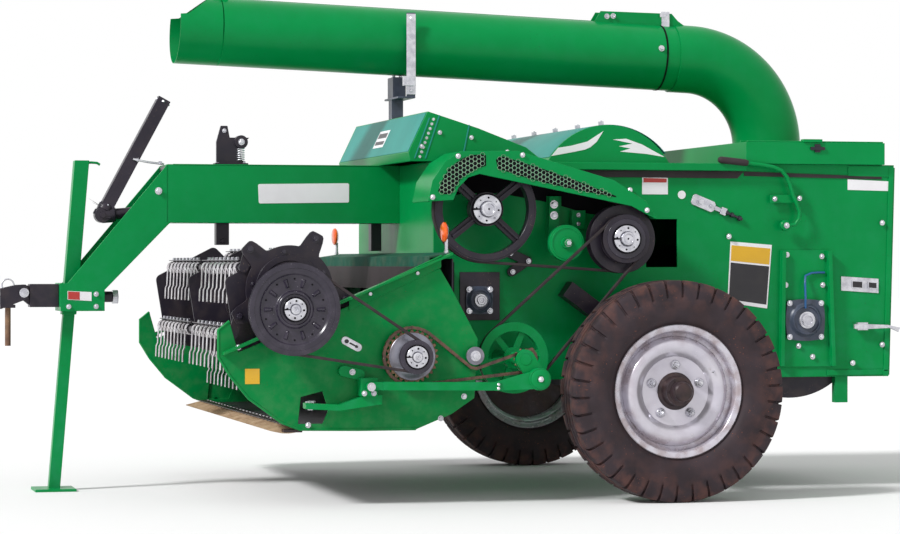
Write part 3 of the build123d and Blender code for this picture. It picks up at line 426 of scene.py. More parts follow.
def bolt(across, height=0.6):
    """A hexagon head on a washer, as two turned shapes, the head with six sides."""
    radius = across / math.sqrt(3)
    step = 0.14 * across
    washer = turned(((0, 0), (0, 1.4 * radius), (step, 1.4 * radius), (step, 0)), 12)
    top = height * across + step
    head = turned(((step * 0.9, 0), (step * 0.9, radius), (top - 1, radius), (top, 0.85 * radius), (top, 0)), 6)
    return joined(washer, head)


# %% [markdown]
# ## Pieces that keep the frame's form
# Sheet and welded pieces already have their true shape. A real edge is never perfectly sharp: sheared sheet is
# rounded by a millimetre or two and catches a line of light. So each gets a merged copy with a small bevel.

# %% Dress the sheet, welded and cast pieces
groups = {
    ("green_paint", "green", 2.0): ("body_side_left", "body_side_right", "body_shell", "rear_lid", "rear_door",
                                    "round_cover", "drum_hood", "drawbar", "belt_guard", "stand_post"),
    ("green_paint", "green_deck", 2.0): ("header_deck",),
    ("green_paint", "green", 1.2): ("belt_idler", "pitman", "rocker", "crank_wheel", "stand_leg",
                                    "rear_stub"),
    ("green_paint", "green", 0.0): ("chute_elbow", "chute_tube", "chute_spout"),
    ("green_paint", "green_worn", 2.0): ("header_side_left", "header_side_right"),
    ("black_paint", "black", 2.0): ("axle", "fan_housing", "header_trough", "line_shaft", "drive_shaft",
                                    "drum_wheel", "jack_wheel", "beam_posts", "tension_bracket",
                                    "reel_eccentric", "hitch_swivel", "hitch_jaw", "hand_control"),
    ("black_paint", "bearing", 1.5): ("chute_cradle",),
    ("galvanised_steel", "dull_zinc", 1.2): ("take_up",),
    ("worn_steel", "rust", 1.2): ("drop_pin",),
    ("belt_rubber", "belt", 2.5): ("main_belt", "knife_belt", "reel_belt"),
}
for (slot, look, bevel), members in groups.items():
    for member in members:
        dress(member, look, bevel)
print("dressed nodes:", sum(len(members) for members in groups.values()))

# %% [markdown]
# ## Tyres
# The tyre is a cross-ply trailer tyre: a smooth sidewall, blocks on the shoulder and zigzag grooves round the
# middle. Its surface is a closed profile carried round the wheel. Where a notch between two blocks comes, the
# profile's shoulder points move inwards, so every block has real walls. Six samples to a block keep it light.

# %% Make the tyres
tyre_r, track_half = 465, 1070
block_count = 38
# Across the tyre: distance from the middle plane, radius, and how far a notch cuts in there
half_profile = np.array((
    (-70, 268, 0), (-76, 264, 0), (-78, 276, 0), (-79, 286, 0), (-88, 294, 0), (-98, 306, 0), (-104, 330, 0),
    (-107, 362, 0), (-106, 384, 0), (-104, 392, 0.2), (-103, 400, 0.8), (-101, 420, 1), (-98, 438, 1), (-95, 452, 1),
    (-90, 461, 1), (-80, 464, 1), (-62, 465, 1), (-48, 465, 0.7), (-42, 464, 0), (-39, 453, 0), (-30, 453, 0),
    (-27, 464, 0), (-10, 465, 0), (-6, 454, 0)))
whole_profile = np.vstack([half_profile, half_profile[::-1] * (-1, 1, 1),
                           ((68, 300, 0), (82, 355, 0), (66, 430, 0), (-66, 430, 0), (-82, 355, 0), (-68, 300, 0))])
steps = np.array((0.0, 0.03, 0.14, 0.17, 0.46, 0.74))
notch = np.tile((0.0, 1.0, 1.0, 0.0, 0.0, 0.0), block_count)
turn = (np.arange(block_count)[:, None] + steps).ravel() * 2 * math.pi / block_count
across, radius, cut = (column[:, None] for column in whole_profile.T)
# The grooves round the middle weave from side to side, and the notches lean a little with the width
weave = 5 * np.sin(turn * block_count)[None] * ((np.abs(across) < 44) & (radius > 450))
lean = turn[None] + np.abs(across) / 92 * 0.035 * (radius > 380)
depth = cut * notch[None]
ring_r = radius - 11 * depth * (radius > 440) - 3 * depth
ring_across = across + weave - np.sign(across) * 9 * depth * (radius < 462)
tyre = skin(np.stack([ring_r * np.cos(lean), ring_r * np.sin(lean), ring_across + 0 * lean], axis=-1), around=True,
            along=True)
for hand, side_name in ((1, "left"), (-1, "right")):
    wheel_middle = (0, -hand * track_half, tyre_r)
    outward = (0, -hand, 0)
    place(f"tyre_{side_name}_tread", at(tyre, wheel_middle, outward), "tyre", body=f"wheel_{side_name}", smooth=32,
          replaces=(f"tyre_{side_name}",))
print("tyre faces:", len(tyre[1][0]))

# %% [markdown]
# ## Rims and hubs
# The rim is rolled from strip with a curled flange, and a dished disc is pressed and welded into it. Both are
# profiles turned about the axle. The hub is a rough casting with a pressed cap, so it is its own piece.

# %% Make the rims and hubs
rim_half = ((86, 272), (87, 277), (84, 280), (79, 278), (76, 269), (73, 262), (62, 259), (46, 258), (38, 252),
            (33, 240), (26, 236))
rim_back = ((26, 228), (36, 231), (41, 247), (47, 250), (76, 252), (82, 258), (84, 266))
flip = lambda pairs: tuple((-a, r) for a, r in reversed(pairs))
rim_ring = turned(rim_half + flip(rim_half) + flip(rim_back) + rim_back, 96, ring=True)
rise = np.linspace(0, 1, 15)
front_r, front_out = 231 - 86 * rise, 34 + 36 * np.sin(math.pi * rise ** 0.8) ** 0.85 + 10 * rise
dish_front = np.column_stack([front_out, front_r])
dish = turned(np.vstack([dish_front, ((44, 140), (44, 79), (36, 79), (36, 143)), (dish_front - (9, 0))[::-1]]), 96,
              ring=True)
hub = turned(((-60, 34), (-60, 56), (14, 62), (20, 134), (34, 134), (36, 80), (46, 77), (52, 64), (70, 60), (96, 57),
              (100, 60), (106, 60), (108, 44), (118, 45), (124, 42), (146, 40), (154, 34), (158, 22), (160, 0)), 40)
# Painted shade: a dark disc over the rim's inner face and a dark ring in the crease between disc and rim stand for the
# shade there
inner_shade_disc = turned(((-4, 64), (-4, 228), (0, 229), (14, 229), (14, 226), (0, 225), (0, 64)), 72, ring=True)
groove = turned(((30, 222), (34.5, 224), (36, 228), (32, 231), (28, 228)), 96, ring=True)
nut = joined(turned(((46, 13), (46, 21), (50, 20), (58, 15), (58, 13)), 20, ring=True),
             turned(((50, 13), (66, 13), (70, 10), (70, 7), (80, 7), (82, 5), (82, 0)), 6))
nuts = spun(at(nut, (111, 0, 0), (0, 0, 1)), 5, 90)
stem = swept(((196, 0, 52), (190, 0, 62), (182, 0, 72), (172, 0, 80)), (5, 5, 4, 4), 8)
cap_ring = spun(at(bolt(7, 0.5), (51, 0, 106), (0, 0, 1)), 6)
for hand, side_name in ((1, "left"), (-1, "right")):
    wheel_middle, outward, wheel_body = (0, -hand * track_half, tyre_r), (0, -hand, 0), f"wheel_{side_name}"
    place(f"rim_{side_name}_steel", at(joined(rim_ring, dish), wheel_middle, outward), "silver", body=wheel_body,
          smooth=50, replaces=(f"rim_{side_name}",))
    place(f"rim_painted_shade_{side_name}", at(joined(inner_shade_disc, groove), wheel_middle, outward), "hub", body=wheel_body,
          smooth=30)
    place(f"hub_{side_name}", at(joined(hub, cap_ring), wheel_middle, outward), "hub", body=wheel_body, smooth=30)
    place(f"wheel_nuts_{side_name}", at(joined(nuts, spun(stem, 1, 27)), wheel_middle, outward), "zinc",
          body=wheel_body, smooth=30)
print("rim faces:", len(rim_ring[1][0]), "dish faces:", len(dish[1][0]))

# %% [markdown]
# ## Shaft bushes
# The belt wheels sit on taper bushes: a bright slotted ring pulled into the hub by screws, with the shaft end in its
# middle. One function makes them all, as turned rings and a socket in each screw.

# %% A taper bush
def bush(radius, shaft, thick=10, reach=18):
    """A ring with a split and screws round it, and the shaft's end that stands out of its middle; the half holes are
    painted shade, drawn apart as dark discs.
    """
    gap = math.radians(5)
    turn = np.linspace(gap, 2 * math.pi - gap, 44)
    loop = np.array(((shaft + 1, 0), (radius, 0), (radius, thick - 2), (radius - 2, thick), (shaft + 5, thick),
                     (shaft + 1, thick - 4)))
    grid = np.stack([np.outer(loop[:, 0], np.cos(turn + math.pi)), np.outer(loop[:, 0], np.sin(turn + math.pi)),
                     np.repeat(loop[:, 1:], len(turn), axis=1)], axis=-1)
    ring = skin(grid, along=True)
    ends = [np.arange(len(loop)) * len(turn), (np.arange(len(loop)) * len(turn) + len(turn) - 1)[::-1]]
    ring[1].append(np.array(ends))
    middle = (radius + shaft + 4) / 2
    screw = turned(((thick - 1, 6), (thick + 2.5, 6), (thick + 2.5, 3), (thick, 3), (thick, 0)), 12)
    screws = spun(at(screw, (middle, 0, 0), (0, 0, 1)), 4, 40)
    end = turned(((0, shaft), (reach - 2, shaft), (reach, shaft - 3), (reach, shaft - 8), (reach - 3, shaft - 10),
                  (reach - 3, 5), (reach - 6, 3), (reach - 6, 0)), 32)
    return joined(ring, screws, end)


def bush_shade_and_seam(radius, shaft, thick=10):
    """Painted shade for the half holes round a bush, as low dark discs, and the dark seam round it as a ring."""
    middle = (radius + shaft + 4) / 2
    spot = turned(((thick - 1, 4.5), (thick + 0.4, 4.5), (thick + 0.4, 0)), 12)
    seam = turned(((0, radius), (0, radius + 5), (thick - 1, radius + 5), (thick - 1, radius)), 40, ring=True)
    return joined(spun(at(spot, (middle, 0, 0), (0, 0, 1)), 4, 85), seam)


# %% [markdown]
# ## Reel drive wheel and reel shaft
# The big reel wheel is pressed from sheet: a deep disc with ten radiating ribs and small holes between them, folded
# into a V groove at the rim. The disc's depth is a function of radius and angle, so ribs and rings are true relief.

# %% A smooth step
def ease(value, low, high):
    """Rises smoothly from 0 at low to 1 at high: t squared times (3 - 2 t)."""
    share = np.clip((value - low) / (high - low), 0, 1)
    return share ** 2 * (3 - 2 * share)


# %% Make the reel's shaft, spiders and belt wheel
reel_x, reel_z, reel_r, bat_phase = -1638, 814, 236, 62.8
belt_plane = 1150
radii = np.linspace(46, 172, 43)[:, None]
angle = np.linspace(0, 2 * math.pi, 241)[None, :-1]
dished = -10 * ease(radii, 66, 84) + 10 * ease(radii, 136, 150)
rib = np.clip(np.cos(10 * angle) * 4.0 - 2.9, 0, 1) * ease(radii, 90, 96) * (1 - ease(radii, 122, 129))
front = dished + 9 * rib + 5 * (ease(radii, 60, 65) - ease(radii, 72, 78))
plate_front = np.stack([radii * np.cos(angle), radii * np.sin(angle), front + 14], axis=-1)
plate_back = plate_front[::-1] - (0, 0, 4)
pressed_disc = skin(np.vstack([plate_front, plate_back]), around=True, along=True)
rim_loop = ((-16, 170), (-16, 184), (-14, 188), (-11, 188), (-8, 172), (8, 172), (11, 188), (14, 188), (16, 184),
            (16, 168), (10, 166), (-10, 166))
wheel_rim = turned(rim_loop, 96, ring=True)
wheel_hub = turned(((-16, 24), (-16, 52), (14, 52), (17, 49), (17, 24)), 40, ring=True)
# Painted shade: the small holes are dark discs on the disc's face, not openings
holes = spun(at(turned(((3.6, 4), (5.0, 4), (5.0, 0)), 12), (124, 0, 0), (0, 0, 1)), 10, 18)
place("reel_wheel", at(joined(pressed_disc, wheel_rim, wheel_hub), (reel_x, -belt_plane, reel_z)), "pressed",
      body="reel", smooth=30)
place("reel_wheel_hole_shade", joined(at(holes, (reel_x, -belt_plane, reel_z)),
                                 at(bush_shade_and_seam(46, 19), (reel_x, -belt_plane - 15, reel_z))), "dark", body="reel")
place("reel_bush", at(bush(46, 19), (reel_x, -belt_plane - 15, reel_z)), "zinc", body="reel")
corner = np.radians(bat_phase + 72 * np.arange(5)[:, None] + np.linspace(-36, 36, 9)[None, :])
middle = np.radians(bat_phase + 72 * np.arange(5)[:, None])
plate_x, plate_z = (reel_r * turn(middle) + 28 * turn(corner) for turn in (np.cos, np.sin))
end_plate = prism(np.column_stack([plate_x.ravel(), plate_z.ravel()]), -4, 4)
spider = joined(end_plate, turned(((-24, 0), (-24, 72), (24, 72), (24, 0)), 40))
shaft = turned(((-1080, 0), (-1080, 25), (1130, 25), (1130, 0)), 32)
tube = turned(((-1010, 0), (-1010, 44), (880, 44), (880, 0)), 40)
reel_parts = [at(shaft, (reel_x, 0, reel_z)), at(tube, (reel_x, 0, reel_z))]
reel_parts += [at(spider, (reel_x, y, reel_z), (0, 1, 0)) for y in (-900, -3, 900)]
place("reel_frame", joined(*reel_parts), "black", body="reel", bevel=1.0, replaces=("reel_core",))
print("reel wheel faces:", len(pressed_disc[1][0]))

# %% [markdown]
# ## Tine bats
# Each bat is a tube with a flat strip on posts along it. The tines are springs in pairs: each rod winds round the
# tube and is let down as a finger with a kink halfway. A rod is one path of points, a helix with x = r cos t,
# z = r sin t and y growing with t, and the same pair is copied along the bat by adding its places.

# %% Make the bats and their tines
wire, coil = 3.6, 24.0
turns = np.linspace(math.pi - 4 * math.pi, math.pi, 19)
half_coil = np.column_stack([coil * np.cos(turns), np.linspace(25, 7, 19), coil * np.sin(turns)])
finger = np.array(((-25, 6, -20), (-28, 5, -84), (-35, 5, -98), (-37, 5, -148)))
half_tine = swept(np.vstack([half_coil, finger]), wire, 6)
tine = joined(half_tine, mirrored(half_tine))
bat_half, tine_pitch, tine_count, spider_half = 925, 94, 19, 900
spots = (np.arange(tine_count) - (tine_count - 1) / 2) * tine_pitch
spots = spots[np.min(np.abs(spots[:, None] - (-spider_half, -3, spider_half)), axis=1) > 34]
tines = scattered(tine, in_row(spots))
strip = joined(*[box((-14, 22), ends, (30, 34)) for ends in ((-880, -22), (16, 880))])
between = (spots[:-1] + spots[1:]) / 2
between = between[np.diff(spots) < 1.5 * tine_pitch]
posts = scattered(box((-7, 7), (-7, 7), (14, 31)), in_row(between))
heads = scattered(at(bolt(13, 0.7), (-2, 0, 34), (0, 0, 1)), in_row(between))
lean_x, lean_z = 22, 77
link_turn = math.atan2(lean_z, lean_x)
link_reach = math.hypot(lean_x, lean_z)
link_arc = np.linspace(math.pi / 2, 3 * math.pi / 2, 9)
link_outline = np.vstack([np.column_stack([20 * np.cos(link_arc), 20 * np.sin(link_arc)]),
                          np.column_stack([link_reach - 20 * np.cos(link_arc), -20 * np.sin(link_arc)])])
link_face = np.array(((math.cos(link_turn), -math.sin(link_turn)), (math.sin(link_turn), math.cos(link_turn))))
link = at(prism(link_outline @ link_face.T, 0, 8), (0, -bat_half, 0))
link_pin = at(turned(((0, 0), (0, 8.9), (32, 8.9), (33, 7), (33, 0)), 20), (lean_x, -bat_half, lean_z))
bat_tube = at(turned(((-bat_half, 0), (-bat_half, 15), (-bat_half, 17), (bat_half, 17), (bat_half, 0)), 24),
              (0, 0, 0))
for k in range(5):
    turn_k = math.radians(bat_phase + 72 * k)
    home = np.array((reel_x + reel_r * math.cos(turn_k), 0, reel_z + reel_r * math.sin(turn_k)))
    place(f"bat_{k + 1}_tube", shifted(joined(bat_tube, strip, posts, link), home), "black", body=f"bat_{k + 1}",
          bevel=0.8, replaces=(f"bat_{k + 1}",))
    place(f"bat_{k + 1}_tines", shifted(tines, home), "spring", body=f"bat_{k + 1}", smooth=60)
    place(f"bat_{k + 1}_bolts", shifted(joined(heads, link_pin), home), "zinc", body=f"bat_{k + 1}", smooth=30)
print("tine faces per bat:", len(tines[1][0]))

# %% [markdown]
# ## Star and its eccentric
# The five-lobed star turns on a fixed disc set off from the shaft, and so keeps the tines hanging down. Its edge is
# a function of the angle, far out at each lobe and nearer between them. A bearing rim and bolts finish it.

# %% Trim the star
star_x, star_z, star_y = reel_x + lean_x, reel_z + lean_z, 945
turn = np.linspace(0, 2 * math.pi, 181)[:-1]
from_lobe = np.abs((np.degrees(turn) - bat_phase + 36) % 72 - 36)
edge = 184 + 78 * (1 - ease(from_lobe, 5, 15))
bore = np.full(180, 115.4)
loops = [(bore, 0), (edge, 0), (edge, 8), (bore, 8)]
grid = np.stack([np.column_stack([r * np.cos(turn), r * np.sin(turn), np.full(180, out)]) for r, out in loops])
star_plate = skin(grid, around=True, along=True)
star_rim = turned(((8, 118), (8, 146), (12, 144), (12, 120)), 60, ring=True)
place("star_plate", at(joined(star_plate, star_rim), (star_x, -star_y, star_z)), "black", body="star", bevel=1.0,
      replaces=("reel_star",))
star_bolts = spun(at(bolt(13), (158, 0, 8), (0, 0, 1)), 5, bat_phase + 36)
lobe_bolts = spun(at(bolt(20), (reel_r, 0, 8), (0, 0, 1)), 5, bat_phase)
place("star_bolts", at(joined(star_bolts, lobe_bolts), (star_x, -star_y, star_z)), "pressed", body="star", smooth=30)
print("star edge from", round(edge.min()), "to", round(edge.max()), "mm")

# %% [markdown]
# ## Knife and guards
# The cutter bar carries 27 forged guards. Each is a pointed finger, fullest at its root, made by moving a rounded
# section along its length while its width, top and bottom change. Triangular knife sections run in their slots.

# %% Make the cutter bar
knife_x, knife_z, guard_pitch, guard_count = -1600, 322, 76.2, 27
station = np.array(((-118, 1.5, -1, -4), (-100, 4, 3, -9), (-76, 6.5, 9, -14), (-56, 8.5, 14, -18),
                    (-30, 10, 15, -19), (-6, 11, 14, -16), (12, 11, 12, -13)))
turn = np.linspace(0, 2 * math.pi, 9)[:-1] + math.pi / 8
reach, wide, top, bottom = (column[:, None] for column in station.T)
grid = np.stack([reach + 0 * turn, wide * np.clip(1.3 * np.cos(turn), -1, 1),
                 (top + bottom) / 2 + (top - bottom) / 2 * np.clip(1.3 * np.sin(turn), -1, 1)], axis=-1)
guard = skin(grid, around=True)
guard[1].append(np.array([np.arange(8)[::-1], np.arange(8) + 48]))
guard_spots = (np.arange(guard_count) - (guard_count - 1) / 2) * guard_pitch
place("knife_guards", scattered(shifted(guard, (knife_x, 0, knife_z)), in_row(guard_spots)), "guard_iron", smooth=40,
      replaces=("cutter_bar",))
bar_shape = at(box((-1660, -1582), (-12, 0), (-1041, 1041)), (0, 0, knife_z))
back = at(box((-1648, -1600), (14.2, 19), (-1036, 1036)), (0, 0, knife_z))
place("knife_bar", joined(bar_shape, back), "hub", bevel=1.0)
section = prism(((-78, -5), (-78, 5), (-20, 34), (0, 34), (0, -34), (-20, -34)), 0, 3)
section_spots = guard_spots[:-1] + guard_pitch / 2
sections = scattered(shifted(section, (knife_x, 0, knife_z + 2)), in_row(section_spots))
rivet = shifted(turned(((0, 0), (0, 5), (2.5, 3.5), (3, 0)), 8), (knife_x - 10, 0, knife_z + 19))
rivet_spots = np.concatenate([guard_spots - 9, guard_spots + 9])
place("knife_sections", joined(sections, scattered(rivet, in_row(rivet_spots))), "spring", smooth=30)
print("guards:", guard_count, "knife sections:", len(section_spots))

# %% [markdown]
# ## Feed auger
# Two screws of opposite hand carry the straw from both ends to the middle, where rods push it on. A flight is a
# helix: at each angle a strip from the tube out to the full radius, moved along the tube as it turns.

# %% Make the auger
auger_x, auger_z, tube_r, flight_r = -1130, 618, 100, 166
turn = np.linspace(0, 2 * math.pi * 2.4, 97)
along_tube = np.linspace(1015, 300, 97)
strip_r = np.array((tube_r - 2, flight_r, flight_r, tube_r - 2))[None]
strip_y = np.array((-2.5, -2.0, 2.0, 2.5))[None]
flight = np.stack([strip_r * np.cos(turn)[:, None], strip_r * np.sin(turn)[:, None],
                   along_tube[:, None] + strip_y], axis=-1)
screw = skin(flight, around=True)
screw[1].append(np.array([np.arange(4)[::-1], np.arange(4) + len(screw[0]) - 4]))
auger_tube = turned(((-1030, 0), (-1030, tube_r), (1030, tube_r), (1030, 0)), 48)
rods = [at(turned(((tube_r - 3, 0), (tube_r - 3, 8), (162, 8), (164, 6), (164, 0)), 10), (0, 0, y),
           (math.cos(a), math.sin(a), 0), (0, 0, 1))
        for y, a in zip(np.linspace(-250, 250, 9), np.arange(9) * 2.3)]
other = (screw[0] * (1, 1, -1), screw[1])
auger = joined(screw, other, auger_tube, turned(((-1165, 0), (-1165, 24), (1080, 24), (1080, 0)), 28), *rods)
place("auger", at(auger, (auger_x, 0, auger_z), (0, 1, 0), (1, 0, 0)), "black", body="feeder",
      replaces=("feed_auger",))
print("auger diameter in mm:", 2 * flight_r)

# %% [markdown]
# ## Chain and sprockets
# The chain is real links: rollers at every joint and pairs of waisted plates between them. The path is the closed
# line that the frame's chain follows, cut into equal steps, and each link is the template turned to its step.

# %% Lay the chain
chain_y, sprocket_r = 1078, 112
crank_x, crank_z, take_x, take_z = -652, 604, -860, 618
arc = lambda x, z, r, start, stop: [(x + r * math.cos(math.radians(a)), z + r * math.sin(math.radians(a)))
                                    for a in np.linspace(start, stop, 14)]
run = sprocket_r + 7.3
route = arc(auger_x, auger_z, run, 52.4, 276.2)
route += arc(crank_x, crank_z, 54, 276, 410) + [(take_x + 2, take_z - 53), (take_x - 14, take_z - 51)]
route = np.array(route + route[:1])
gaps = np.linalg.norm(np.diff(route, axis=0), axis=1)
length = np.concatenate([[0], np.cumsum(gaps)])
link_count = 2 * round(length[-1] / 25.4 / 2)
spacing = length[-1] / link_count
joints = np.column_stack([np.interp(np.arange(link_count) * spacing, length, route[:, k]) for k in (0, 1)])
ahead = np.roll(joints, -1, axis=0) - joints
tilt = np.arctan2(ahead[:, 1], ahead[:, 0])
link_turn = np.linspace(0, 2 * math.pi, 15)[:-1]
waist = 7.2 - 2.2 * np.exp(-((np.cos(link_turn)) / 0.3) ** 2)
plate_outline = np.column_stack([spacing / 2 + (spacing / 2) * np.cos(link_turn) + 5.5 * np.cos(link_turn),
                                 waist * np.sign(np.sin(link_turn)) * np.abs(np.sin(link_turn)) ** 0.5])


def laid(template, which):
    """Copies of a link template turned by each step's angle and moved to its joint."""
    cos, sin = np.cos(tilt[which])[:, None], np.sin(tilt[which])[:, None]
    x, y, out = template[0].T
    grid = np.stack([x * cos - y * sin + joints[which, 0][:, None], x * sin + y * cos + joints[which, 1][:, None],
                     out + 0 * cos], axis=-1)
    return copies(template, grid)


outer_link = joined(prism(plate_outline, 6.2, 8), prism(plate_outline, -8, -6.2))
inner_link = joined(prism(plate_outline, 4, 5.8), prism(plate_outline, -5.8, -4))
roller = joined(turned(((-4, 0), (-4, 7), (4, 7), (4, 0)), 12), turned(((-9, 0), (-9, 3.6), (9, 3.6), (9, 0)), 8))
which = np.arange(link_count)
chain = joined(laid(outer_link, which[::2]), laid(inner_link, which[1::2]), laid(roller, which))
place("chain_links", at(chain, (0, -chain_y, 0)), "chain", replaces=("feed_chain",))


def sprocket(radius, teeth, bore, thick):
    """A toothed disc: the radius rises and falls with the angle, a tooth for each wave."""
    turn = np.linspace(0, 2 * math.pi, teeth * 6 + 1)[:-1]
    edge = radius - 5 + 6 * np.clip(np.cos(turn * teeth) * 1.3, -1, 1)
    ring = np.stack([np.cos(turn), np.sin(turn)], axis=-1)
    loops = [(bore, -thick), (edge - 3, -thick), (edge, -thick / 3), (edge, thick / 3), (edge - 3, thick),
             (bore, thick)]
    grid = np.stack([np.column_stack([ring * np.reshape(r, (-1, 1)), np.full(len(turn), out)]) for r, out in loops])
    return skin(grid, around=True, along=True)


print("chain links:", link_count, "pitch in mm:", round(spacing, 2))

# %% [markdown]
# ## Auger wheels
# On the auger's end sit a toothed wheel for the chain, a dull guard disc, and a small grooved wheel on a taper
# bush. The count of teeth comes from the chain's pitch, so that its links fit round the wheel.

# %% Make the auger's wheels
teeth = round(2 * math.pi * sprocket_r / spacing)
groove = ((-14, 26), (-14, 66), (-12, 70), (-9, 70), (-6, 57), (6, 57), (9, 70), (12, 70), (14, 66), (14, 26))
chain_wheel = at(sprocket(sprocket_r, teeth, 26, 3.6), (auger_x, -chain_y, auger_z))
place("auger_chain_wheel", chain_wheel, "rust", body="feeder", smooth=30, replaces=("feed_wheels",))
guard_disc = turned(((0, 26), (0, 96), (2, 98), (4, 96), (4, 84), (8, 78), (8, 26)), 60, ring=True)
hub_shape = turned(((0, 26), (0, 46), (52, 46), (52, 26)), 36, ring=True)
place("auger_guard_disc", at(joined(guard_disc, hub_shape), (auger_x, -chain_y - 8, auger_z)), "dull_zinc",
      body="feeder")
place("auger_belt_wheel", at(turned(groove, 60, ring=True), (auger_x, -belt_plane, auger_z)), "pressed",
      body="feeder", smooth=30)
place("auger_bush", at(bush(46, 19), (auger_x, -belt_plane - 13, auger_z)), "zinc", body="feeder")
place("auger_bush_marks", at(bush_shade_and_seam(46, 19), (auger_x, -belt_plane - 13, auger_z)), "dark", body="feeder")
place("small_sprockets", at(sprocket(44, 10, 26, 3.6), (crank_x, -chain_y, crank_z)), "rust", smooth=30)
take_up_nut = joined(turned(((6, 0), (6, 22), (9, 22), (9, 0)), 24), at(bolt(24), (0, 0, 8), (0, 0, 1)))
place("take_up_nut", at(take_up_nut, (take_x, -chain_y, take_z)), "zinc", smooth=30)
print("auger chain wheel teeth:", teeth)

# %% [markdown]
# ## Belt wheels of the drum drive
# These wheels keep the frame's castings. The four-spoked one gains ribs along its spokes, a bush, and a machined
# lip at the rim, where the light catches a cast wheel. The jack wheel gains a ring and a bush, the crank its pin.

# %% Trim the drum, jack and crank wheels
drum_x, drum_z, drum_r = -758, 1228, 222
jack_x, jack_z = -156, 1104
main_belt_y, knife_belt_y = 862, 925
drum_face = -main_belt_y - 22
spoke_rib = box((70, drum_r - 36), (-4, 4), (-10, 8))
ribs = joined(spun(spoke_rib, 2, 38), spun(spoke_rib, 2, 138))
rim_lip = turned(((0, drum_r - 34), (0, drum_r - 7), (2, drum_r - 9), (2, drum_r - 32)), 96, ring=True)
hub_step = turned(((0, 48), (0, 70), (3, 68), (3, 48)), 48, ring=True)
place("drum_wheel_ribs", at(joined(ribs, rim_lip, hub_step), (drum_x, drum_face, drum_z)), "black", body="drum_drive",
      bevel=0.8)
hub_face, shaft_end = -900, 32
place("drum_bush", at(bush(62, 31, 10, shaft_end + 6), (drum_x, hub_face, drum_z)), "zinc", body="drum_drive")
place("drum_bush_marks", at(bush_shade_and_seam(62, 31), (drum_x, hub_face, drum_z)), "dark", body="drum_drive")
jack_face = -knife_belt_y - 18
jack_ring = turned(((0, 60), (0, 86), (3, 84), (3, 62)), 60, ring=True)
place("jack_ring", at(jack_ring, (jack_x, jack_face, jack_z)), "pressed", body="jack_drive", bevel=0.8)
place("jack_bush", at(bush(58, 29, 12, 30), (jack_x, jack_face, jack_z)), "zinc", body="jack_drive")
place("jack_bush_marks", at(bush_shade_and_seam(58, 29, 12), (jack_x, jack_face, jack_z)), "dark", body="jack_drive")
pin_x, pin_z = -601, 522
crank_pin = joined(at(turned(((0, 0), (0, 15), (14, 15), (16, 12), (16, 0)), 20), (pin_x, -1134, pin_z)),
                   at(bolt(22), (pin_x, -1146, pin_z)))
place("crank_pin", crank_pin, "zinc", smooth=30)
print("drum wheel diameter in mm:", 2 * drum_r)

# %% [markdown]
# ## Bearing units and the wall plate of the fan
# Flanged bearing units are castings with a domed middle and a bolt at each corner. The fan's unit sits on a plate
# with two folded rails. They stand for one frame node, split here by finish.

# %% Make the bearing units
body_half = 690
fan_x, fan_z = 752, 751
wall_face = -body_half


def flanged_unit(side, dome, shaft):
    """A square cast flange with round corners, a domed housing turned on it and the shaft's end."""
    turn = np.linspace(0, 2 * math.pi, 49)[:-1]
    reach = side / np.maximum(np.abs(np.cos(turn)), np.abs(np.sin(turn))) ** 0.72
    flange = prism(np.column_stack([reach * np.cos(turn), reach * np.sin(turn)]), 0, 12)
    housing = turned(((12, dome + 8), (18, dome), (28, dome - 4), (30, dome - 8), (22, dome - 12), (22, shaft + 5),
                      (26, shaft + 5), (26, shaft)), 40)
    end = joined(turned(((10, shaft), (44, shaft), (46, shaft - 3), (46, shaft - 9), (43, shaft - 11), (43, 0)), 28),
                 turned(((24, shaft + 9), (34, shaft + 9), (36, shaft + 6), (36, shaft)), 36))
    return joined(flange, housing), end


fan_unit, fan_end = flanged_unit(92, 68, 28)
low_unit, low_end = flanged_unit(60, 50, 20)
corner = np.array(((-1, -1), (1, -1), (1, 1), (-1, 1)))
corner_bolts = lambda reach: scattered(at(bolt(16), (0, 0, 12), (0, 0, 1)), corner * reach)
low_x, low_z = -736, 843
units = joined(at(fan_unit, (fan_x, wall_face - 8, fan_z)), at(low_unit, (low_x, wall_face - 8, low_z)))
place("bearing_units", units, "bearing", smooth=32, bevel=0.8)
ends = joined(at(fan_end, (fan_x, wall_face - 8, fan_z)), at(low_end, (low_x, wall_face - 8, low_z)),
              at(corner_bolts(74), (fan_x, wall_face - 8, fan_z)),
              at(corner_bolts(46), (low_x, wall_face - 8, low_z)))
place("bearing_bolts", ends, "zinc", smooth=30)
rail = lambda foot, head, out: prism(((foot - 9, 548), (foot + 9, 548), (head + 9, 1056), (head - 9, 1056)), 0, out)
fan_plate = joined(prism(((632, 545), (890, 545), (872, 1059), (640, 1059)), 0, 8), rail(642, 650, 30),
                   rail(880, 862, 38))
place("fan_plate", at(fan_plate, (0, wall_face, 0)), "green", bevel=2.0, replaces=("bearings",))
low_plate = prism(((-820, 757), (-643, 757), (-643, 963), (-820, 963)), 0, 8)
place("low_bearing_plate", at(low_plate, (0, wall_face, 0)), "black", bevel=1.5)
place("jack_seat", at(turned(((0, 30), (0, 62), (1.5, 60), (1.5, 30)), 40, ring=True), (jack_x, wall_face, jack_z)),
      "zinc")
print("bearing unit faces:", sum(len(group) for group in units[1]))

# %% [markdown]
# ## Left wall
# The wall's top is folded over as a lip. Bolts, a blank vinyl plate here and there, the slotted slide, the lever's
# rubber grip, the spring latch and the grease line all sit on the wall's face.

# %% Make the wall's lip, bolts and fittings
lip = at(box((-424, 471), (1404, 1436), (0, 36)), (0, wall_face, 0))
place("wall_lip", lip, "green", bevel=3.0)
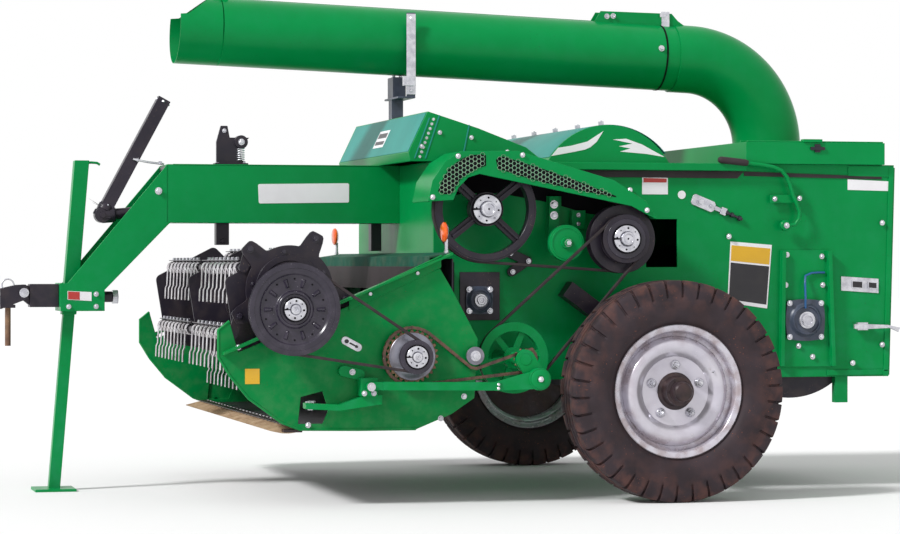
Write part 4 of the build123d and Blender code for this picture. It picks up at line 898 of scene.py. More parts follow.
# Painted shadow: a dark strip along the wall under the lip and the lid, standing for the shadow they cast
shade = at(prism(((-424, 1403.5), (-330, 1374), (440, 1372), (471, 1403.5)), 0.5, 6), (0, wall_face, 0))
shade = joined(shade, at(prism(((471, 1383), (1120, 1372), (1120, 1384), (471, 1403)), 0.5, 4), (0, wall_face, 0)))
place("painted_lip_shadow", shade, "belt", bevel=1.0)
wall_bolts = np.array(((-57, 1318), (399, 1118), (670, 1038), (834, 1031), (724, 637), (790, 589), (664, 905),
                       (838, 905), (-500, 1360), (1120, 1180), (1120, 640), (980, 560), (560, 560)))
place("wall_bolts", at(scattered(bolt(15), wall_bolts), (0, wall_face - 8, 0)), "zinc", smooth=30)
hem = joined(at(box((960, 1176), (1384, 1432), (0, 4)), (0, wall_face, 0)),
             at(prism(((1128, 506), (1150, 506), (1176, 1430), (1154, 1430)), 0, 6), (0, wall_face, 0)),
             at(box((860, 1150), (506, 530), (0, 6)), (0, wall_face, 0)))
place("wall_hems", hem, "green", bevel=2.0)


# %% The wall's blank plates
def plate(corners, thick=1.6):
    """A thin plate on the left wall with these corners."""
    return at(prism(corners, 0, thick), (0, wall_face, 0))


tall = np.array(((409, 1096), (602, 1081), (580, 802), (395, 828)))
part = lambda low, high, inset: np.array([
    tall[0] + (tall[3] - tall[0]) * low, tall[1] + (tall[2] - tall[1]) * low,
    tall[1] + (tall[2] - tall[1]) * high, tall[0] + (tall[3] - tall[0]) * high]) * (1 - inset) + tall.mean(0) * inset
place("blank_plates_white", joined(plate(tall), plate(((2, 1376), (120, 1374), (120, 1300), (2, 1300))),
                                   plate(((959, 1372), (1156, 1364), (1156, 1321), (959, 1325)))), "white", bevel=0.5)
round_plate = at(turned(((0, 0), (0, 18), (1.6, 18), (1.6, 0)), 32), (184, wall_face, 1299))
place("blank_plate_round", round_plate, "white")
place("blank_plate_yellow", plate(part(0.03, 0.30, 0.06), 2.2), "yellow")
place("blank_plate_black", plate(part(0.33, 0.97, 0.06), 2.2), "ink")
place("blank_plate_red", plate(((8, 1371), (114, 1369), (114, 1352), (8, 1352)), 2.2), "red")
steel_panel = joined(plate(((927, 943), (1105, 932), (1105, 868), (927, 880)), 4),
                     plate(((975, 925), (1030, 922), (1030, 888), (975, 891)), 8),
                     plate(((1052, 920), (1098, 917), (1098, 886), (1052, 889)), 8))
place("rear_latch_plate", steel_panel, "zinc", bevel=1.0)
windows = joined(plate(((980, 921), (1025, 918), (1025, 892), (980, 895)), 8.6),
                 plate(((1057, 916), (1093, 913), (1093, 890), (1057, 893)), 8.6))
place("rear_latch_windows", windows, "ink")
# Painted shadow: a flat black sheet on the wall behind the belt guard, standing for the shadow the guard casts
guard_shadow_outline = plate(((-960, 1262), (-800, 1300), (-640, 1300), (-420, 1262), (-240, 1214), (-110, 1200), (-110, 1262),
                    (-330, 1330), (-620, 1400), (-800, 1420), (-930, 1380)), 1.2)
place("painted_guard_shadow", guard_shadow_outline, "dark")
place("corner_hem", at(box((1124, 1150), (500, 524), (0, 9)), (0, wall_face, 0)), "green", bevel=1.0)
print("wall bolts:", len(wall_bolts))

# %% The slide, the latch, the lever's grip and the grease line
slope = (math.cos(math.radians(-21.6)), 0, math.sin(math.radians(-21.6)))
slide_at = lambda shape: at(shape, (345, wall_face - 14, 1238), (0, -1, 0), slope)
slide = joined(prism(((-124, -16), (-116, -24), (-22, -24), (-12, -14), (-12, 14), (-22, 24), (-116, 24), (-124, 16)),
                     -14, -6), box((-12, 16), (-9, 9), (-14, -4)), box((16, 42), (-16, 16), (-14, 4)),
               at(bolt(22), (-84, 0, -6), (0, 0, 1)), at(bolt(12), (-32, 0, -6), (0, 0, 1)))
place("belt_slide", slide_at(slide), "zinc", bevel=0.8, replaces=("side_fittings",))
slide_rod = joined(at(turned(((34, 6), (124, 6), (124, 0)), 14), (0, 0, -4), (1, 0, 0), (0, 1, 0)),
                   *(at(turned(((x, 6), (x, 12), (x + 12, 12), (x + 12, 6)), 6, ring=True), (0, 0, -4), (1, 0, 0),
                        (0, 1, 0)) for x in (40, 66, 104)))
place("belt_slide_rod", slide_at(slide_rod), "pressed", smooth=30)
latch = joined(at(prism(((0, -10), (60, -12), (160, -8), (214, -16), (216, -6), (160, 6), (60, 10), (0, 10)), 0, 12),
                  (978, wall_face - 20, 722)),
               at(box((20, 70), (-17, 17), (-12, 8)), (978, wall_face - 12, 722)),
               at(scattered(bolt(10), ((32, 0), (58, 0))), (978, wall_face - 20, 722)),
               swept(((1128, wall_face - 26, 724), (1150, wall_face - 34, 716), (1172, wall_face - 36, 706),
                      (1186, wall_face - 32, 700)), 5, 8))
place("rear_latch", latch, "zinc", bevel=0.8)
lever_y = -(body_half + 40)
lever_way = np.array(((465, 1439), (530, 1432), (590, 1423), (630, 1408), (656, 1379), (672, 1342), (684, 1302),
                      (703, 1261), (716, 1228), (714, 1196), (694, 1170), (656, 1166)))
rod = swept(np.column_stack([lever_way[:, 0], np.full(12, lever_y), lever_way[:, 1]]), 9, 10)
lever_plate = joined(at(prism(((585, 1300), (739, 1302), (739, 1268), (585, 1264)), 0, 6), (0, -body_half - 18, 0)),
                     at(box((600, 630), (1270, 1298), (-2, 18)), (0, -body_half, 0)),
                     at(turned(((0, 0), (0, 24), (14, 24), (18, 20), (18, 0)), 28), (650, lever_y + 10, 1166)))
place("lever_rod", joined(rod, lever_plate), "green", smooth=50, bevel=0.8, replaces=("side_lever",))
grip = swept(((338, lever_y, 1452), (345, lever_y, 1451.5), (352, lever_y, 1451), (400, lever_y, 1446.5),
              (462, lever_y, 1440), (474, lever_y, 1438.5)), (9, 14, 15, 15, 15, 12), 16)
place("lever_grip", grip, "belt", smooth=50)
lever_bolts = joined(at(bolt(16), (652, lever_y - 8, 1166)), at(bolt(14), (606, wall_face - 24, 1283)),
                     at(bolt(14), (722, wall_face - 24, 1286)))
place("lever_bolts", lever_bolts, "zinc", smooth=30)
hose_path = np.array(((fan_x - 6, wall_face - 34, fan_z + 52), (744, wall_face - 40, 850), (744, wall_face - 34, 914),
                      (752, wall_face - 20, 946), (783, wall_face - 16, 958), (815, wall_face - 14, 960),
                      (845, wall_face - 12, 960)))
steps = np.linspace(0, len(hose_path) - 1, 25)
place("grease_line", swept(np.column_stack([np.interp(steps, np.arange(len(hose_path)),
                                            hose_path[:, k]) for k in range(3)]), 5, 8), "hose", smooth=60)
print("grease line in mm:", round(np.linalg.norm(np.diff(hose_path, axis=0), axis=1).sum()))

# %% [markdown]
# ## Honeycomb vents
# The belt guard is pierced with hexagonal holes so that chaff falls out. Each hole is a hexagonal ring, kept where
# its middle lies inside the vent's outline, and a dark plate behind the rings is painted shade for the depth of the
# holes.

# %% Make the vents
guard_face = -958
banana = np.array(((-987, 1300), (-969, 1345), (-944, 1388), (-912, 1418), (-875, 1441), (-835, 1453), (-800, 1456),
                   (-780, 1452), (-779, 1409), (-823, 1394), (-862, 1373), (-892, 1348), (-912, 1318), (-926, 1292),
                   (-955, 1288)))
strip_vent = np.array(((-736, 1433), (-722, 1446), (-701, 1447), (-540, 1400), (-368, 1343), (-208, 1285),
                       (-208, 1280), (-368, 1307), (-544, 1344), (-640, 1370), (-727, 1397)))


def inside(points, outline):
    """Which points lie inside the outline: an odd number of its edges cross a line to their right."""
    a, b = outline, np.roll(outline, -1, axis=0)
    x, y = points[:, 0][:, None], points[:, 1][:, None]
    spans = (a[:, 1] > y) != (b[:, 1] > y)
    cross = a[:, 0] + (y - a[:, 1]) / np.where(b[:, 1] == a[:, 1], 1, b[:, 1] - a[:, 1]) * (b[:, 0] - a[:, 0])
    return (spans & (x < cross)).sum(axis=1) % 2 == 1


def honeycomb(outline, size, web, thick):
    """Hexagonal rings side by side: columns 1.5 radii apart, every second one half a step up."""
    radius = size / math.sqrt(3)
    low, high = outline.min(axis=0), outline.max(axis=0)
    column = np.arange(int((high[0] - low[0]) / (1.5 * radius)) + 2)
    row = np.arange(int((high[1] - low[1]) / size) + 2)
    spots = np.array([(low[0] + 1.5 * radius * c, low[1] + size * (r + 0.5 * (c % 2))) for c in column for r in row])
    cell = turned(((0, radius), (thick, radius), (thick, radius - web), (0, radius - web)), 6, ring=True)
    kept = spots[inside(spots, outline)]
    return scattered(cell, kept), len(kept)


shapes = [honeycomb(outline, 18.5, 1.5, 3.0) for outline in (banana, strip_vent)]
place("vent_webs", at(joined(*(shape for shape, _ in shapes)), (0, guard_face, 0)), "web")
# Painted shade: a dark plate behind the rings stands for the depth of the holes
place("vent_hole_shade", at(joined(*(prism(outline, 0, 1.0) for outline in (banana, strip_vent))), (0, guard_face, 0)),
      "dark")
guard_bolts = np.array(((-1010, 1276), (-70, 1226), (-620, 1455), (-900, 1448)))
place("guard_bolts", at(scattered(bolt(14), guard_bolts), (0, guard_face, 0)), "zinc", smooth=30)
print("vent cells:", [count for _, count in shapes])

# %% [markdown]
# ## Slack wheel and tension links
# The green slack wheel presses on the belt. A bar of two flat plates stands above it, and bright bolts hold the
# links beside it.

# %% Trim the slack wheel and the links
slack_x, slack_z = -400, 1087
idler_cap = joined(*(at(shape, (slack_x, -main_belt_y - 14, slack_z)) for shape in (
    turned(((0, 62), (0, 70), (3, 68), (3, 62)), 48, ring=True),
    turned(((0, 14), (0, 26), (8, 24), (8, 14)), 32, ring=True))))
place("slack_wheel_lip", idler_cap, "green", bevel=0.8)
bar_y = -(body_half + 40)
bar_outline = ((-437, 1100), (-388, 1100), (-392, 1288), (-433, 1288))
slack_bar = at(joined(prism(bar_outline, 0, 8), prism(bar_outline, -40, -32)), (0, bar_y, 0))
place("slack_bar", slack_bar, "green", bevel=1.5)
place("slack_bar_bolts", at(scattered(bolt(22), ((-413, 1253), (-413, 1206))), (0, bar_y - 8, 0)), "zinc", smooth=30)
link_bolts = np.array(((-602, 1044), (-522, 1010), (-593, 964)))
place("link_bolts", joined(at(scattered(bolt(14), link_bolts), (0, wall_face - 34, 0)),
                           at(bolt(20), (slack_x, -900, slack_z)), at(scattered(bolt(12),
                           ((-300, 1170), (-300, 1208))), (0, wall_face - 40, 0))), "zinc", smooth=30)
print("link bolts:", len(link_bolts))

# %% [markdown]
# ## Header
# The header's side plates carry the reel and the auger. The rail along their tops is a folded angle; bolts hold the
# bearing plates, and a slotted adjusting tag with a knob sits above the window. A rubber flap hangs from the deck,
# and a rod along each front edge stands for its rolled lip.

# %% Trim the header
header_half = 1050
side_face = -header_half
bearing_ring = turned(((0, 26), (0, 52), (10, 50), (14, 40), (14, 26)), 40, ring=True)
rings = joined(at(bearing_ring, (reel_x, side_face, reel_z)), at(bearing_ring, (auger_x, side_face, auger_z)),
               far(bearing_ring, (reel_x, header_half, reel_z)), far(bearing_ring, (auger_x, header_half, auger_z)))
place("header_bearings", rings, "bearing", smooth=32, bevel=0.8)
spots = np.array(((-1720, 720), (-1556, 720), (-1180, 560), (-1080, 560), (-1180, 676), (-1080, 676), (-1850, 660),
                  (-1700, 705), (-1500, 790), (-1300, 875), (-1100, 960), (-1000, 360), (-900, 450), (-1560, 340)))
header_bolts = joined(at(scattered(bolt(15), spots), (0, side_face, 0)),
                      far(scattered(bolt(15), spots * (-1, 1)), (0, header_half, 0)))
place("header_bolts", header_bolts, "zinc", smooth=30)

# %% The tag, the rail and the front lips
window_pin = at(turned(((-30, 12), (0, 12), (0, 22), (6, 22), (8, 18), (8, 0)), 24), (-1545, side_face + 20, 430),
                (0, 0, 1), (1, 0, 0))
place("window_pin", window_pin, "zinc", smooth=30)
tag_right = (math.cos(math.radians(-28)), 0, math.sin(math.radians(-28)))
tag_half = np.linspace(math.pi / 2, 3 * math.pi / 2, 9)
tag_outline = np.vstack([np.column_stack([-30 + 17 * np.cos(tag_half), 17 * np.sin(tag_half)]),
                         np.column_stack([30 - 17 * np.cos(tag_half), -17 * np.sin(tag_half)])])
tag = prism(tag_outline, 0, 4)
place("slotted_tag", at(tag, (-1378, side_face, 670), right=tag_right), "zinc", bevel=1.0)
# Painted shade: the tag's slot is a thin black strip laid on its face, beside the knobs
knobs = joined(at(turned(((4, 0), (4, 9), (12, 8), (13, 0)), 20), (-24, 0, 0), (0, 0, 1)),
               at(turned(((4, 0), (4, 6), (5, 6), (5, 0)), 16), (22, 0, 0), (0, 0, 1)),
               box((-10, 30), (-3.5, 3.5), (4, 4.8)))
place("tag_knob", at(knobs, (-1378, side_face, 670), right=tag_right), "ink", smooth=40)
place("header_plate_yellow", at(prism(((-1822, 510), (-1762, 510), (-1762, 572), (-1822, 572)), 0, 1.6),
                                (0, side_face, 0)), "yellow")
side_rail = joined(at(prism(((-1389, 858), (-999, 1035), (-999, 983), (-1389, 806)), 0, 6), (0, side_face, 0)),
                   at(prism(((-1389, 858), (-999, 1035), (-999, 1029), (-1389, 852)), 0, 26), (0, side_face, 0)))
place("side_rail", side_rail, "green_worn", bevel=1.5)
place("inlet_shade", box((-940, -936), (-1030, 1030), (575, 1005)), "dark")
# Partly painted shade: a dark rubber flap under the deck's front edge, there to fill the shaded gap under the deck
place("deck_shade_flap", box((-1053, -1049), (-1040, 1040), (888, 987)), "belt", bevel=1.0)
front_edge = np.array(((-1886, 765), (-1931, 730), (-1931, 621), (-1884, 545), (-1806, 452), (-1727, 394),
                       (-1672, 353), (-1594, 323), (-1350, 319), (-1105, 319)))
edge_y = np.full(len(front_edge), header_half - 3)
for hand, side_name in ((-1, "left"), (1, "right")):
    front_lip = swept(np.column_stack([front_edge[:, 0], hand * edge_y, front_edge[:, 1]]), 6.5, 8,
                      lean=(0, 1, 0))
    place(f"side_lip_{side_name}", front_lip, "green_worn", smooth=50)
far_cover = prism(((1620, 336), (1606, 468), (1488, 494), (1458, 400), (1484, 336)), 0, 4)
far_bolts_at = ((1608, 348), (1596, 460), (1494, 482), (1468, 402), (1494, 348))
place("window_cover_right", joined(far(far_cover, (0, header_half, 0)),
                                   far(scattered(bolt(11), far_bolts_at), (0, header_half + 4, 0))), "green_worn",
      bevel=1.0)
print("header bolts on a side:", len(spots))

# %% [markdown]
# ## Knife drive
# The pitman rod joins the crank to a rocker block. A turned boss covers its crank end, and bolts hold both ends.

# %% Trim the pitman and the rocker
pitman_boss = at(turned(((0, 0), (0, 40), (4, 40), (7, 35), (8, 18), (5, 14), (5, 0)), 40), (pin_x, -1151, pin_z))
place("pitman_boss", pitman_boss, "green", bevel=0.6)
pitman_caps = joined(at(bolt(13), (pin_x, -1156, pin_z)), at(bolt(22), (-1319, -1154, 498)),
                     at(bolt(16), (-1380, -1074, 556)), at(scattered(bolt(14), ((-1300, 470), (-1340, 470))),
                     (0, -1118, 0)), at(scattered(bolt(12), ((-780, 502), (-780, 486))), (0, -1144, 0)))
place("pitman_bolts", pitman_caps, "zinc", smooth=30)
print("crank pin at:", pin_x, pin_z)

# %% [markdown]
# ## Drawbar, stand and hitch
# The drawbar is a welded box. Its weld beads are drawn as thin swept rods, and the cross joint of the input shaft
# gets its forks and bearing cups. A strap rod holds the loose half of the shaft up.

# %% Trim the drawbar
beam_half, beam_top, beam_bottom, bend_x = 100, 1436, 1180, -1985
bead = lambda points: swept(points, 2.5, 6)
beads = [bead(((bend_x - 4, y, 1184), (bend_x - 4, y, 1308), (bend_x - 4, y, 1432))) for y in (-beam_half, beam_half)]
beads += [bead(((-1960, y, z), (-1400, y, z), (-940, y, z))) for y in (-beam_half, beam_half)
          for z in (beam_bottom + 1, beam_top - 1)]
place("beam_welds", joined(*beads), "green", smooth=60)
beam_sign = at(prism(((-1577, 1270), (-1572, 1265), (-1172, 1271), (-1167, 1276), (-1167, 1352), (-1172, 1357),
                      (-1575, 1351), (-1580, 1346)), 0, 1.6), (0, -beam_half, 0))
place("beam_blank_plate", beam_sign, "white", bevel=0.5)
far_sign = at(prism(((1167, 1270), (1572, 1266), (1577, 1350), (1172, 1356)), 0, 1.6), (0, beam_half, 0), (0, 1, 0),
              (-1, 0, 0))
place("beam_blank_plate_far", far_sign, "white", bevel=0.5)
nose_bolts = joined(at(scattered(bolt(14), ((-2420, 812), (-2300, 812), (-2300, 866))), (0, -beam_half, 0)),
                    far(scattered(bolt(18), ((2420, 820), (2300, 820))), (0, beam_half, 0)),
                    at(bolt(20), (-2025, -beam_half, 1318)), far(bolt(20), (-2025, beam_half, 1318)))
place("nose_bolts", nose_bolts, "zinc", smooth=30)
nose_plate = prism(((-2425, 880), (-2320, 875), (-2320, 836), (-2425, 842)), 0, 1.6)
nose_red = prism(((-2423, 878), (-2372, 875.5), (-2372, 841), (-2423, 844)), 0, 2.2)
place("nose_blank_plate", at(nose_plate, (0, -beam_half, 0)), "white", bevel=0.3)
place("nose_red_plate", at(nose_red, (0, -beam_half, 0)), "red", bevel=0.3)
print("weld beads:", len(beads))

# %% Trim the input shaft
joint = np.array((-2261, 0, 1213))
rod_way = np.array((276, 0, 514)) / math.hypot(276, 514)
line_way = np.array((1306, 0, 97)) / math.hypot(1306, 97)


def fork(way, reach, spin):
    """Two arms from a collar to the cross, each a tapering slab, and the cup at its end."""
    arms = [prism(((-17, s * 26), (17, s * 26), (17, s * 34), (-17, s * 34)), -6, reach) for s in (-1, 1)]
    cups = [at(turned(((34, 0), (34, 13), (39, 12), (39, 0)), 20), (0, 0, 0), (0, s, 0), (1, 0, 0)) for s in (-1, 1)]
    collar = turned(((reach - 4, 0), (reach - 4, 36), (reach + 16, 36), (reach + 26, 30), (reach + 26, 0)), 32)
    return at(joined(*arms, *cups, collar), joint, way, spin)


forks = joined(fork(rod_way, 30, (0, 1, 0)), fork(line_way, 34, np.cross(line_way, (0, 1, 0))))
place("joint_forks", forks, "black", bevel=1.0)
strap_path = ((-2128, -34, 1459), (-2112, -34, 1456), (-2060, -34, 1446), (-1990, -34, 1438))
strap = joined(swept(strap_path, 5, 8), at(bolt(14), (-2106, -34, 1455), (-0.97, 0, 0.2), (0.2, 0, 0.97)),
               at(bolt(14), (-2006, -34, 1440), (0, 0, 1)))
place("shaft_strap", strap, "zinc", smooth=40)
tube_caps = [at(turned(((0, 22), (0, 36), (8, 36), (8, 22)), 4, ring=True),
                joint + rod_way * d, rod_way, (0.0, 1, 0)) for d in (44, 566)]
place("shaft_edge", joined(*tube_caps), "zinc", bevel=0.8)

# %% Trim the stand and the hitch
hook = swept(((-2336, 57, 1442), (-2300, 57, 1446), (-2274, 57, 1444), (-2262, 57, 1436)), 6, 8)
place("post_hook", hook, "green", smooth=50)
leg_pin = swept(((-2362, 86, 1040), (-2362, 96, 1040), (-2362, 112, 1040), (-2362, 118, 1034), (-2362, 118, 1000)), 7,
                10)
place("leg_pin", leg_pin, "zinc", smooth=50)
swivel_nut = joined(at(turned(((0, 21), (0, 34), (22, 34), (24, 30), (24, 21)), 6, ring=True), (-2215, 0, 853),
                       (1, 0, 0), (0, 1, 0)),
                    at(bolt(26), (-2608, -46, 872)), far(bolt(26), (-2608, 46, 872)))
place("hitch_bolts", swivel_nut, "zinc", body="hitch", smooth=30)
ring_turn = np.linspace(0, 2 * math.pi, 25)[:-1]
pull_ring = swept(np.column_stack([-2674 + 26 * np.cos(ring_turn), 0 * ring_turn, 906 + 26 * np.sin(ring_turn)]), 3.5,
                  8, closed=True)
place("pin_ring", pull_ring, "zinc", body="hitch", smooth=60)

# %% [markdown]
# ## Control on the beam
# A small hand valve with a coil spring stands on the beam above the front post.

# %% Trim the hand control
spring_turn = np.linspace(0, 14 * math.pi, 113)
spring_path = np.column_stack([-1640 + 17 * np.cos(spring_turn), 17 * np.sin(spring_turn),
                               np.linspace(1455, 1522, 113)])
place("control_spring", swept(spring_path, 3, 6, lean=(0.02, 0.03, 1)), "zinc", smooth=60)
control_bolts = joined(at(bolt(18), (-1640, -22, 1540)), at(bolt(12), (-1715, -8, 1590)),
                       at(scattered(bolt(13), ((-1745, 0), (-1625, 0))), (0, 0, beam_top + 10), (0, 0, 1)))
place("control_bolts", control_bolts, "zinc", smooth=30)
print("control spring turns:", round(spring_turn[-1] / (2 * math.pi)))

# %% [markdown]
# ## Chute
# The chute is rolled sheet: a welded seam, a dark line where two lengths meet, and two hinge plates on top. The
# line is a thin ring turned about the tube's own axis, which slopes by two degrees.

# %% Trim the chute
tilt = math.radians(2.2)
turn_x, turn_z, turn_r = 853, 1544, 400
exit_point = np.array((turn_x - turn_r + turn_r * math.sin(tilt), 0, turn_z + turn_r * math.cos(tilt)))
tube_way = np.array((-math.cos(tilt), 0, math.sin(tilt)))
on_tube = lambda shape, along: at(shape, exit_point + tube_way * along, tube_way, (0, -1, 0))
tube_seam = box((-3, 3), (150.2, 152.5), (430, 2160))
place("chute_seam", on_tube(tube_seam, 0), "green", body="chute", bevel=0.8)
joint = turned(((-4, 150.2), (-4, 151.8), (4, 151.8), (4, 150.2)), 96, ring=True)
place("chute_joint_line", on_tube(joint, 153), "dark", body="chute")
hinge_side = ((-8, 2092), (30, 2156), (374, 2150), (403, 2118), (481, 2064), (440, 2050), (40, 2060))
hinge_plates = joined(at(prism(hinge_side, 0, 4), (0, -36, 0)), at(prism(hinge_side, 0, 4), (0, 40, 0)))
place("chute_hinge_plates", hinge_plates, "green", body="chute", bevel=1.0)
hinge_bolts = [at(bolt(16), (x, -40, z)) for x, z in ((60, 2132), (90, 2134))]
side_bolt = on_tube(at(bolt(18), (151 * math.cos(0.2), 151 * math.sin(0.2), 184),
                       (math.cos(0.2), math.sin(0.2), 0), (0, 0, 1)), 0)
catch = joined(at(box((322, 360), (2068, 2158), (0, 8)), (0, -40, 0)),
               at(box((312, 340), (2132, 2150), (8, 16)), (0, -40, 0)))
place("chute_bolts", joined(*hinge_bolts, side_bolt, catch), "zinc", body="chute", smooth=30, bevel=0.8)
ring_bolts = spun(at(bolt(16), (176, 0, 0), (0, 0, 1)), 8, 22)
place("turntable_bolts", at(ring_bolts, (turn_x, 0, 1544), (0, 0, 1), (1, 0, 0)), "zinc", body="chute", smooth=30)
print("chute leaves its bend at:", exit_point.round(1).tolist())

# %% The chute's cradle and the reflectors
cradle_trim = joined(at(scattered(bolt(14), ((-936, 0), (-905, 0))), (0, 0, 1838), (0, 0, 1)),
                     at(scattered(bolt(14), ((-900, 1770), (-900, 2090))), (0, -174, 0)))
place("cradle_bolts", cradle_trim, "zinc", smooth=30)
strap_face = joined(box((-921, -879), (-174.5, -172.5), (1752, 2112)), box((-940, -888), (-196, -174), (1790, 1832)))
place("cradle_strap", strap_face, "zinc", bevel=1.0)
lens = turned(((0, 0), (0, 38), (3, 41), (9, 41), (13, 37), (14.5, 34), (15, 0)), 40)
for hand, side_name in ((-1, "left"), (1, "right")):
    y = hand * (header_half - 30)
    place(f"reflector_{side_name}", at(lens, (-971, y, 1130), (-1, 0, 0), (0, 1, 0)), "amber", smooth=30,
          replaces=("reflectors",) if hand < 0 else ())
    rod = joined(swept(((-967, y, 1040), (-967, y, 1080), (-967, y, 1100)), 7, 10), at(bolt(15), (-967, y, 1046),
                                                                                      (0, 0, 1)),
                 at(turned(((-6, 0), (-6, 30), (0, 36), (0, 0)), 30), (-971, y, 1130), (-1, 0, 0), (0, 1, 0)))
    place(f"reflector_stalk_{side_name}", rod, "zinc", smooth=40)

# %% [markdown]
# ## Hood, cover, lid and the far side
# The hood's sloping face carries a blank plate. Small latches hold the cover, the lid and the rear door are
# stiffened by ribs, and the far wall is sheet with upright strips and the same bolts.

# %% Trim the hood
hood_out = np.array((-176, 0, 85)) / math.hypot(85, 176)
on_hood = lambda shape: at(shape, (-1038, 0, 1474), hood_out, (0, -1, 0))
# Painted sky reflection: a thin blue-tinted green sheet laid over the hood's sloping face
place("hood_front_sky_sheen", on_hood(prism(((-640, 4), (652, 4), (652, 190), (-640, 190)), 0.2, 2.2)), "painted_sky_sheen_green",
      bevel=0.8)
place("hood_blank_plate", on_hood(prism(((-60, 48), (126, 48), (126, 134), (-60, 134)), 2.2, 3.8)), "white",
      bevel=0.5)
place("hood_ink_plate", on_hood(joined(prism(((-44, 62), (110, 62), (110, 80), (-44, 80)), 3.8, 4.4),
                                       prism(((-44, 96), (110, 96), (110, 120), (-44, 120)), 3.8, 4.4))), "ink")
hood_face = -665
# The hood's seams carry the same blue-tinted painted sky reflection
seams = joined(*(at(prism(((x - 3, 1448), (x + 3, 1448), (x + lean + 3, top), (x + lean - 3, top)), 0, 2.5),
                    (0, hood_face, 0)) for x, lean, top in ((-1012, 66, 1622), (-964, 62, 1634), (-800, 30, 1594))))
place("hood_seams", seams, "painted_sky_sheen_green", bevel=0.8)
share = np.linspace(0, 1, 9)
rivets = np.column_stack([-988 + 60 * share, 1456 + 160 * share])
place("hood_rivets", at(scattered(bolt(8, 0.4), rivets), (0, hood_face, 0)), "zinc", smooth=30)

# %% Trim the cover, with plain white bands and a painted sky reflection on its crown
slashes = (((-425, 1467), (-392, 1503), (-330, 1512), (-250, 1531), (-172, 1577), (-205, 1530), (-235, 1507),
            (-262, 1496), (-326, 1484)),
           ((-126, 1541), (-60, 1545), (20, 1520), (60, 1500), (130, 1467), (38, 1480), (-90, 1489), (-40, 1503),
            (-96, 1512), (-30, 1524)))
place("cover_white_bands", joined(*(at(prism(np.array(slash) * (0.93, 1) + (-12, -4), 0, 1.2),
                                       (0, -(body_half - 8), 0)) for slash in slashes)), "white")
crown_x, cover_x, crown_z, cover_z = -140, -425, 1600, 1436
rear_reach, sheet_inset = 270, 14
arc_r = ((crown_x - cover_x) ** 2 + (crown_z - cover_z) ** 2) / (2 * (crown_z - cover_z))
arc_turn = np.linspace(math.asin((rear_reach - sheet_inset) / arc_r),
                       -math.asin((crown_x - cover_x - sheet_inset) / arc_r), 33)
arc_line = [np.column_stack([crown_x + (arc_r + off) * np.sin(arc_turn),
                             crown_z - arc_r + (arc_r + off) * np.cos(arc_turn)]) for off in (0.4, 2.2)]
# Painted sky reflection: a thin blue-tinted green sheet laid over the cover's crown
cover_sky_sheen = at(prism(np.vstack([arc_line[0], arc_line[1][::-1]]), -body_half + 20, body_half - 20), (0, 0, 0))
place("cover_sky_sheen", cover_sky_sheen, "painted_sky_sheen_green", smooth=30)

# %% Trim the lid and the cover's crest
lid_bits = at(box((736, 825), (1532, 1546), (-30, 8)), (0, -720, 0))
place("lid_handle", lid_bits, "green", bevel=2.0)
catch_face = joined(at(box((770, 836), (1498, 1512), (0, 10)), (0, -720, 0)),
                    at(box((790, 816), (1488, 1524), (0, 6)), (0, -720, 0)))
place("lid_catch", catch_face, "black", bevel=1.5)
crest_x, crest_z, crest_out = -174, 1598, (-0.1, 0, 0.99)
latches = [joined(at(box((-5, 5), (-11, 11), (0, 18)), (crest_x, y, crest_z), crest_out, (0, 1, 0)),
                  at(bolt(7), (crest_x, y, crest_z + 17), crest_out, (0, 1, 0)))
           for y in (-660, -330, 0, 330, 660)]
place("cover_latches", joined(*latches), "zinc", smooth=30)
hood_bolts = joined(at(scattered(bolt(12), ((-980, 1500), (-900, 1560), (-760, 1540), (-600, 1480))), (0, -665, 0)),
                    far(scattered(bolt(12), ((980, 1500), (900, 1560), (760, 1540), (600, 1480))), (0, 665, 0)))
place("hood_bolts", hood_bolts, "zinc", smooth=30)
lid_ribs = joined(*(at(box((490, 640), (y - 8, y + 8), (0, 10)), (0, 0, 1532), (0, 0, 1)) for y in (-600, 600)),
                  at(box((478, 1117), (-716, -704), (0, 6)), (0, 0, 1532), (0, 0, 1)),
                  at(box((478, 1117), (704, 716), (0, 6)), (0, 0, 1532), (0, 0, 1)))
place("lid_ribs", lid_ribs, "green", bevel=2.0)

# %% Trim the rear door and the far wall
door_out = np.array((920, 0, -26)) / math.hypot(26, 920)
door_ribs = [at(box((y - 12, y + 12), (60, 860), (0, 12)), (1164, 0, 505), door_out, (0, 1, 0)) for y in
             (-520, -180, 180, 520)]
place("door_ribs", joined(*door_ribs), "green", body="back_door", bevel=2.5)
handle_path = ((1180, -80, 640), (1202, -80, 640), (1206, -70, 640), (1206, 70, 640), (1202, 80, 640),
               (1180, 80, 640))
place("door_handle", swept(handle_path, 7, 10, lean=(0.1, 0.2, 1)), "zinc", body="back_door", smooth=50)
far_bolts = wall_bolts * (-1, 1)
place("far_wall_bolts", far(scattered(bolt(15), far_bolts), (0, body_half, 0)), "zinc", smooth=30)
far_trim = joined(far(box((-471, 424), (1404, 1436), (0, 36)), (0, body_half, 0)),
                  far(box((-1150, -860), (506, 530), (0, 6)), (0, body_half, 0)),
                  far(box((60, 100), (540, 1380), (0, 14)), (0, body_half, 0)),
                  far(box((-520, -480), (540, 1380), (0, 14)), (0, body_half, 0)),
                  far(box((600, 640), (540, 1380), (0, 14)), (0, body_half, 0)))
place("far_wall_trim", far_trim, "green", bevel=3.0)

# %% [markdown]
# ## Floor, light and camera
# A pale studio floor and a white surround. The world lights the object evenly at a middling level and shows as white
# to the camera and in reflections, so that paint renders about as its hex code says. One soft sun from the upper
# left front gives form and a shadow. The camera is a long lens from the left front, about 11 m away.

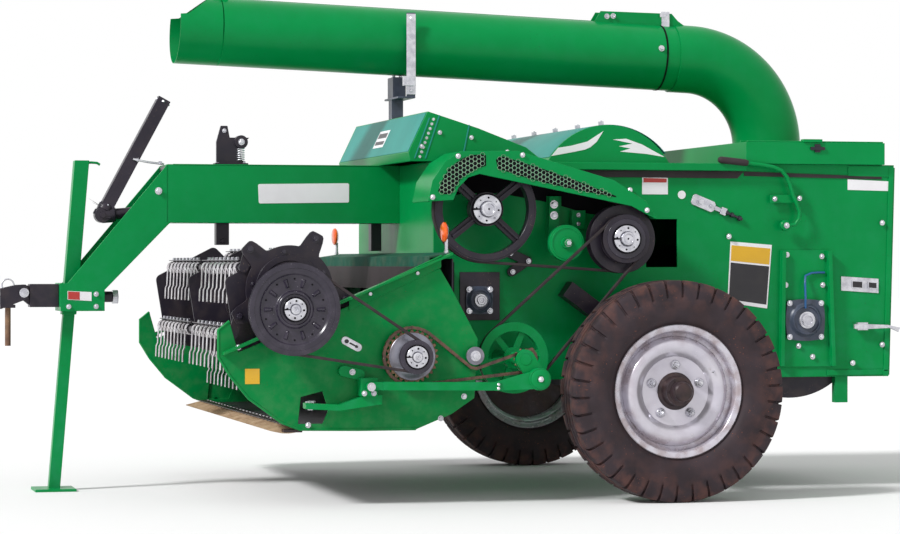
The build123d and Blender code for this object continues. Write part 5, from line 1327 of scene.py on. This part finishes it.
# %% Make the floor
floor_mesh = bpy.data.meshes.new("studio_floor")
floor_mesh.from_pydata([(-40, -40, 0), (40, -40, 0), (40, 60, 0), (-40, 60, 0)], [], [(0, 1, 2, 3)])
floor = bpy.data.objects.new("studio_floor", floor_mesh)
bpy.context.scene.collection.objects.link(floor)
floor_look = bpy.data.materials.new("studio_floor_paper")
floor_look.use_nodes = True
paper = floor_look.node_tree.nodes["Principled BSDF"]
paper.inputs["Base Color"].default_value = linear("#F4F4F4")
paper.inputs["Roughness"].default_value = 0.9
paper.inputs["Specular IOR Level"].default_value = 0.1
floor_mesh.materials.append(floor_look)

# %% Light the scene
world = bpy.data.worlds.new("studio")
bpy.context.scene.world = world
world.use_nodes = True
sky = world.node_tree
sky.nodes.clear()
rays = add(sky, "ShaderNodeLightPath")
seen = add(sky, "ShaderNodeMath", {0: rays.outputs["Is Camera Ray"], 1: rays.outputs["Is Glossy Ray"]},
           operation="MAXIMUM")
seen = add(sky, "ShaderNodeMath", {0: seen.outputs[0], 1: rays.outputs["Is Transmission Ray"]}, operation="MAXIMUM")
level = add(sky, "ShaderNodeBackground", {"Color": (1, 1, 1, 1), "Strength": 0.6})
white = add(sky, "ShaderNodeBackground", {"Color": (1, 1, 1, 1), "Strength": 1.0})
both = add(sky, "ShaderNodeMixShader", {0: seen.outputs[0], 1: level.outputs[0], 2: white.outputs[0]})
add(sky, "ShaderNodeOutputWorld", {"Surface": both.outputs[0]})
sun_light = bpy.data.lights.new("soft_sun", "SUN")
sun_light.energy = 2.8
sun_light.angle = math.radians(9)
sun = bpy.data.objects.new("soft_sun", sun_light)
sun.rotation_euler = (math.radians(52), 0, math.radians(-67))
bpy.context.scene.collection.objects.link(sun)

# %% Set the camera
lens_data = bpy.data.cameras.new("side_view")
lens_data.lens = 108
lens_data.sensor_width = 36
lens_data.shift_x = 0.1186
lens_data.shift_y = -0.0044
lens_data.clip_end = 200
camera = bpy.data.objects.new("side_view", lens_data)
camera.location = (-3.1394, -11.8213, 1.0016)
camera.rotation_euler = (math.radians(90), 0, math.radians(-13))
bpy.context.scene.collection.objects.link(camera)
bpy.context.scene.camera = camera
bpy.context.scene.view_settings.view_transform = "Standard"
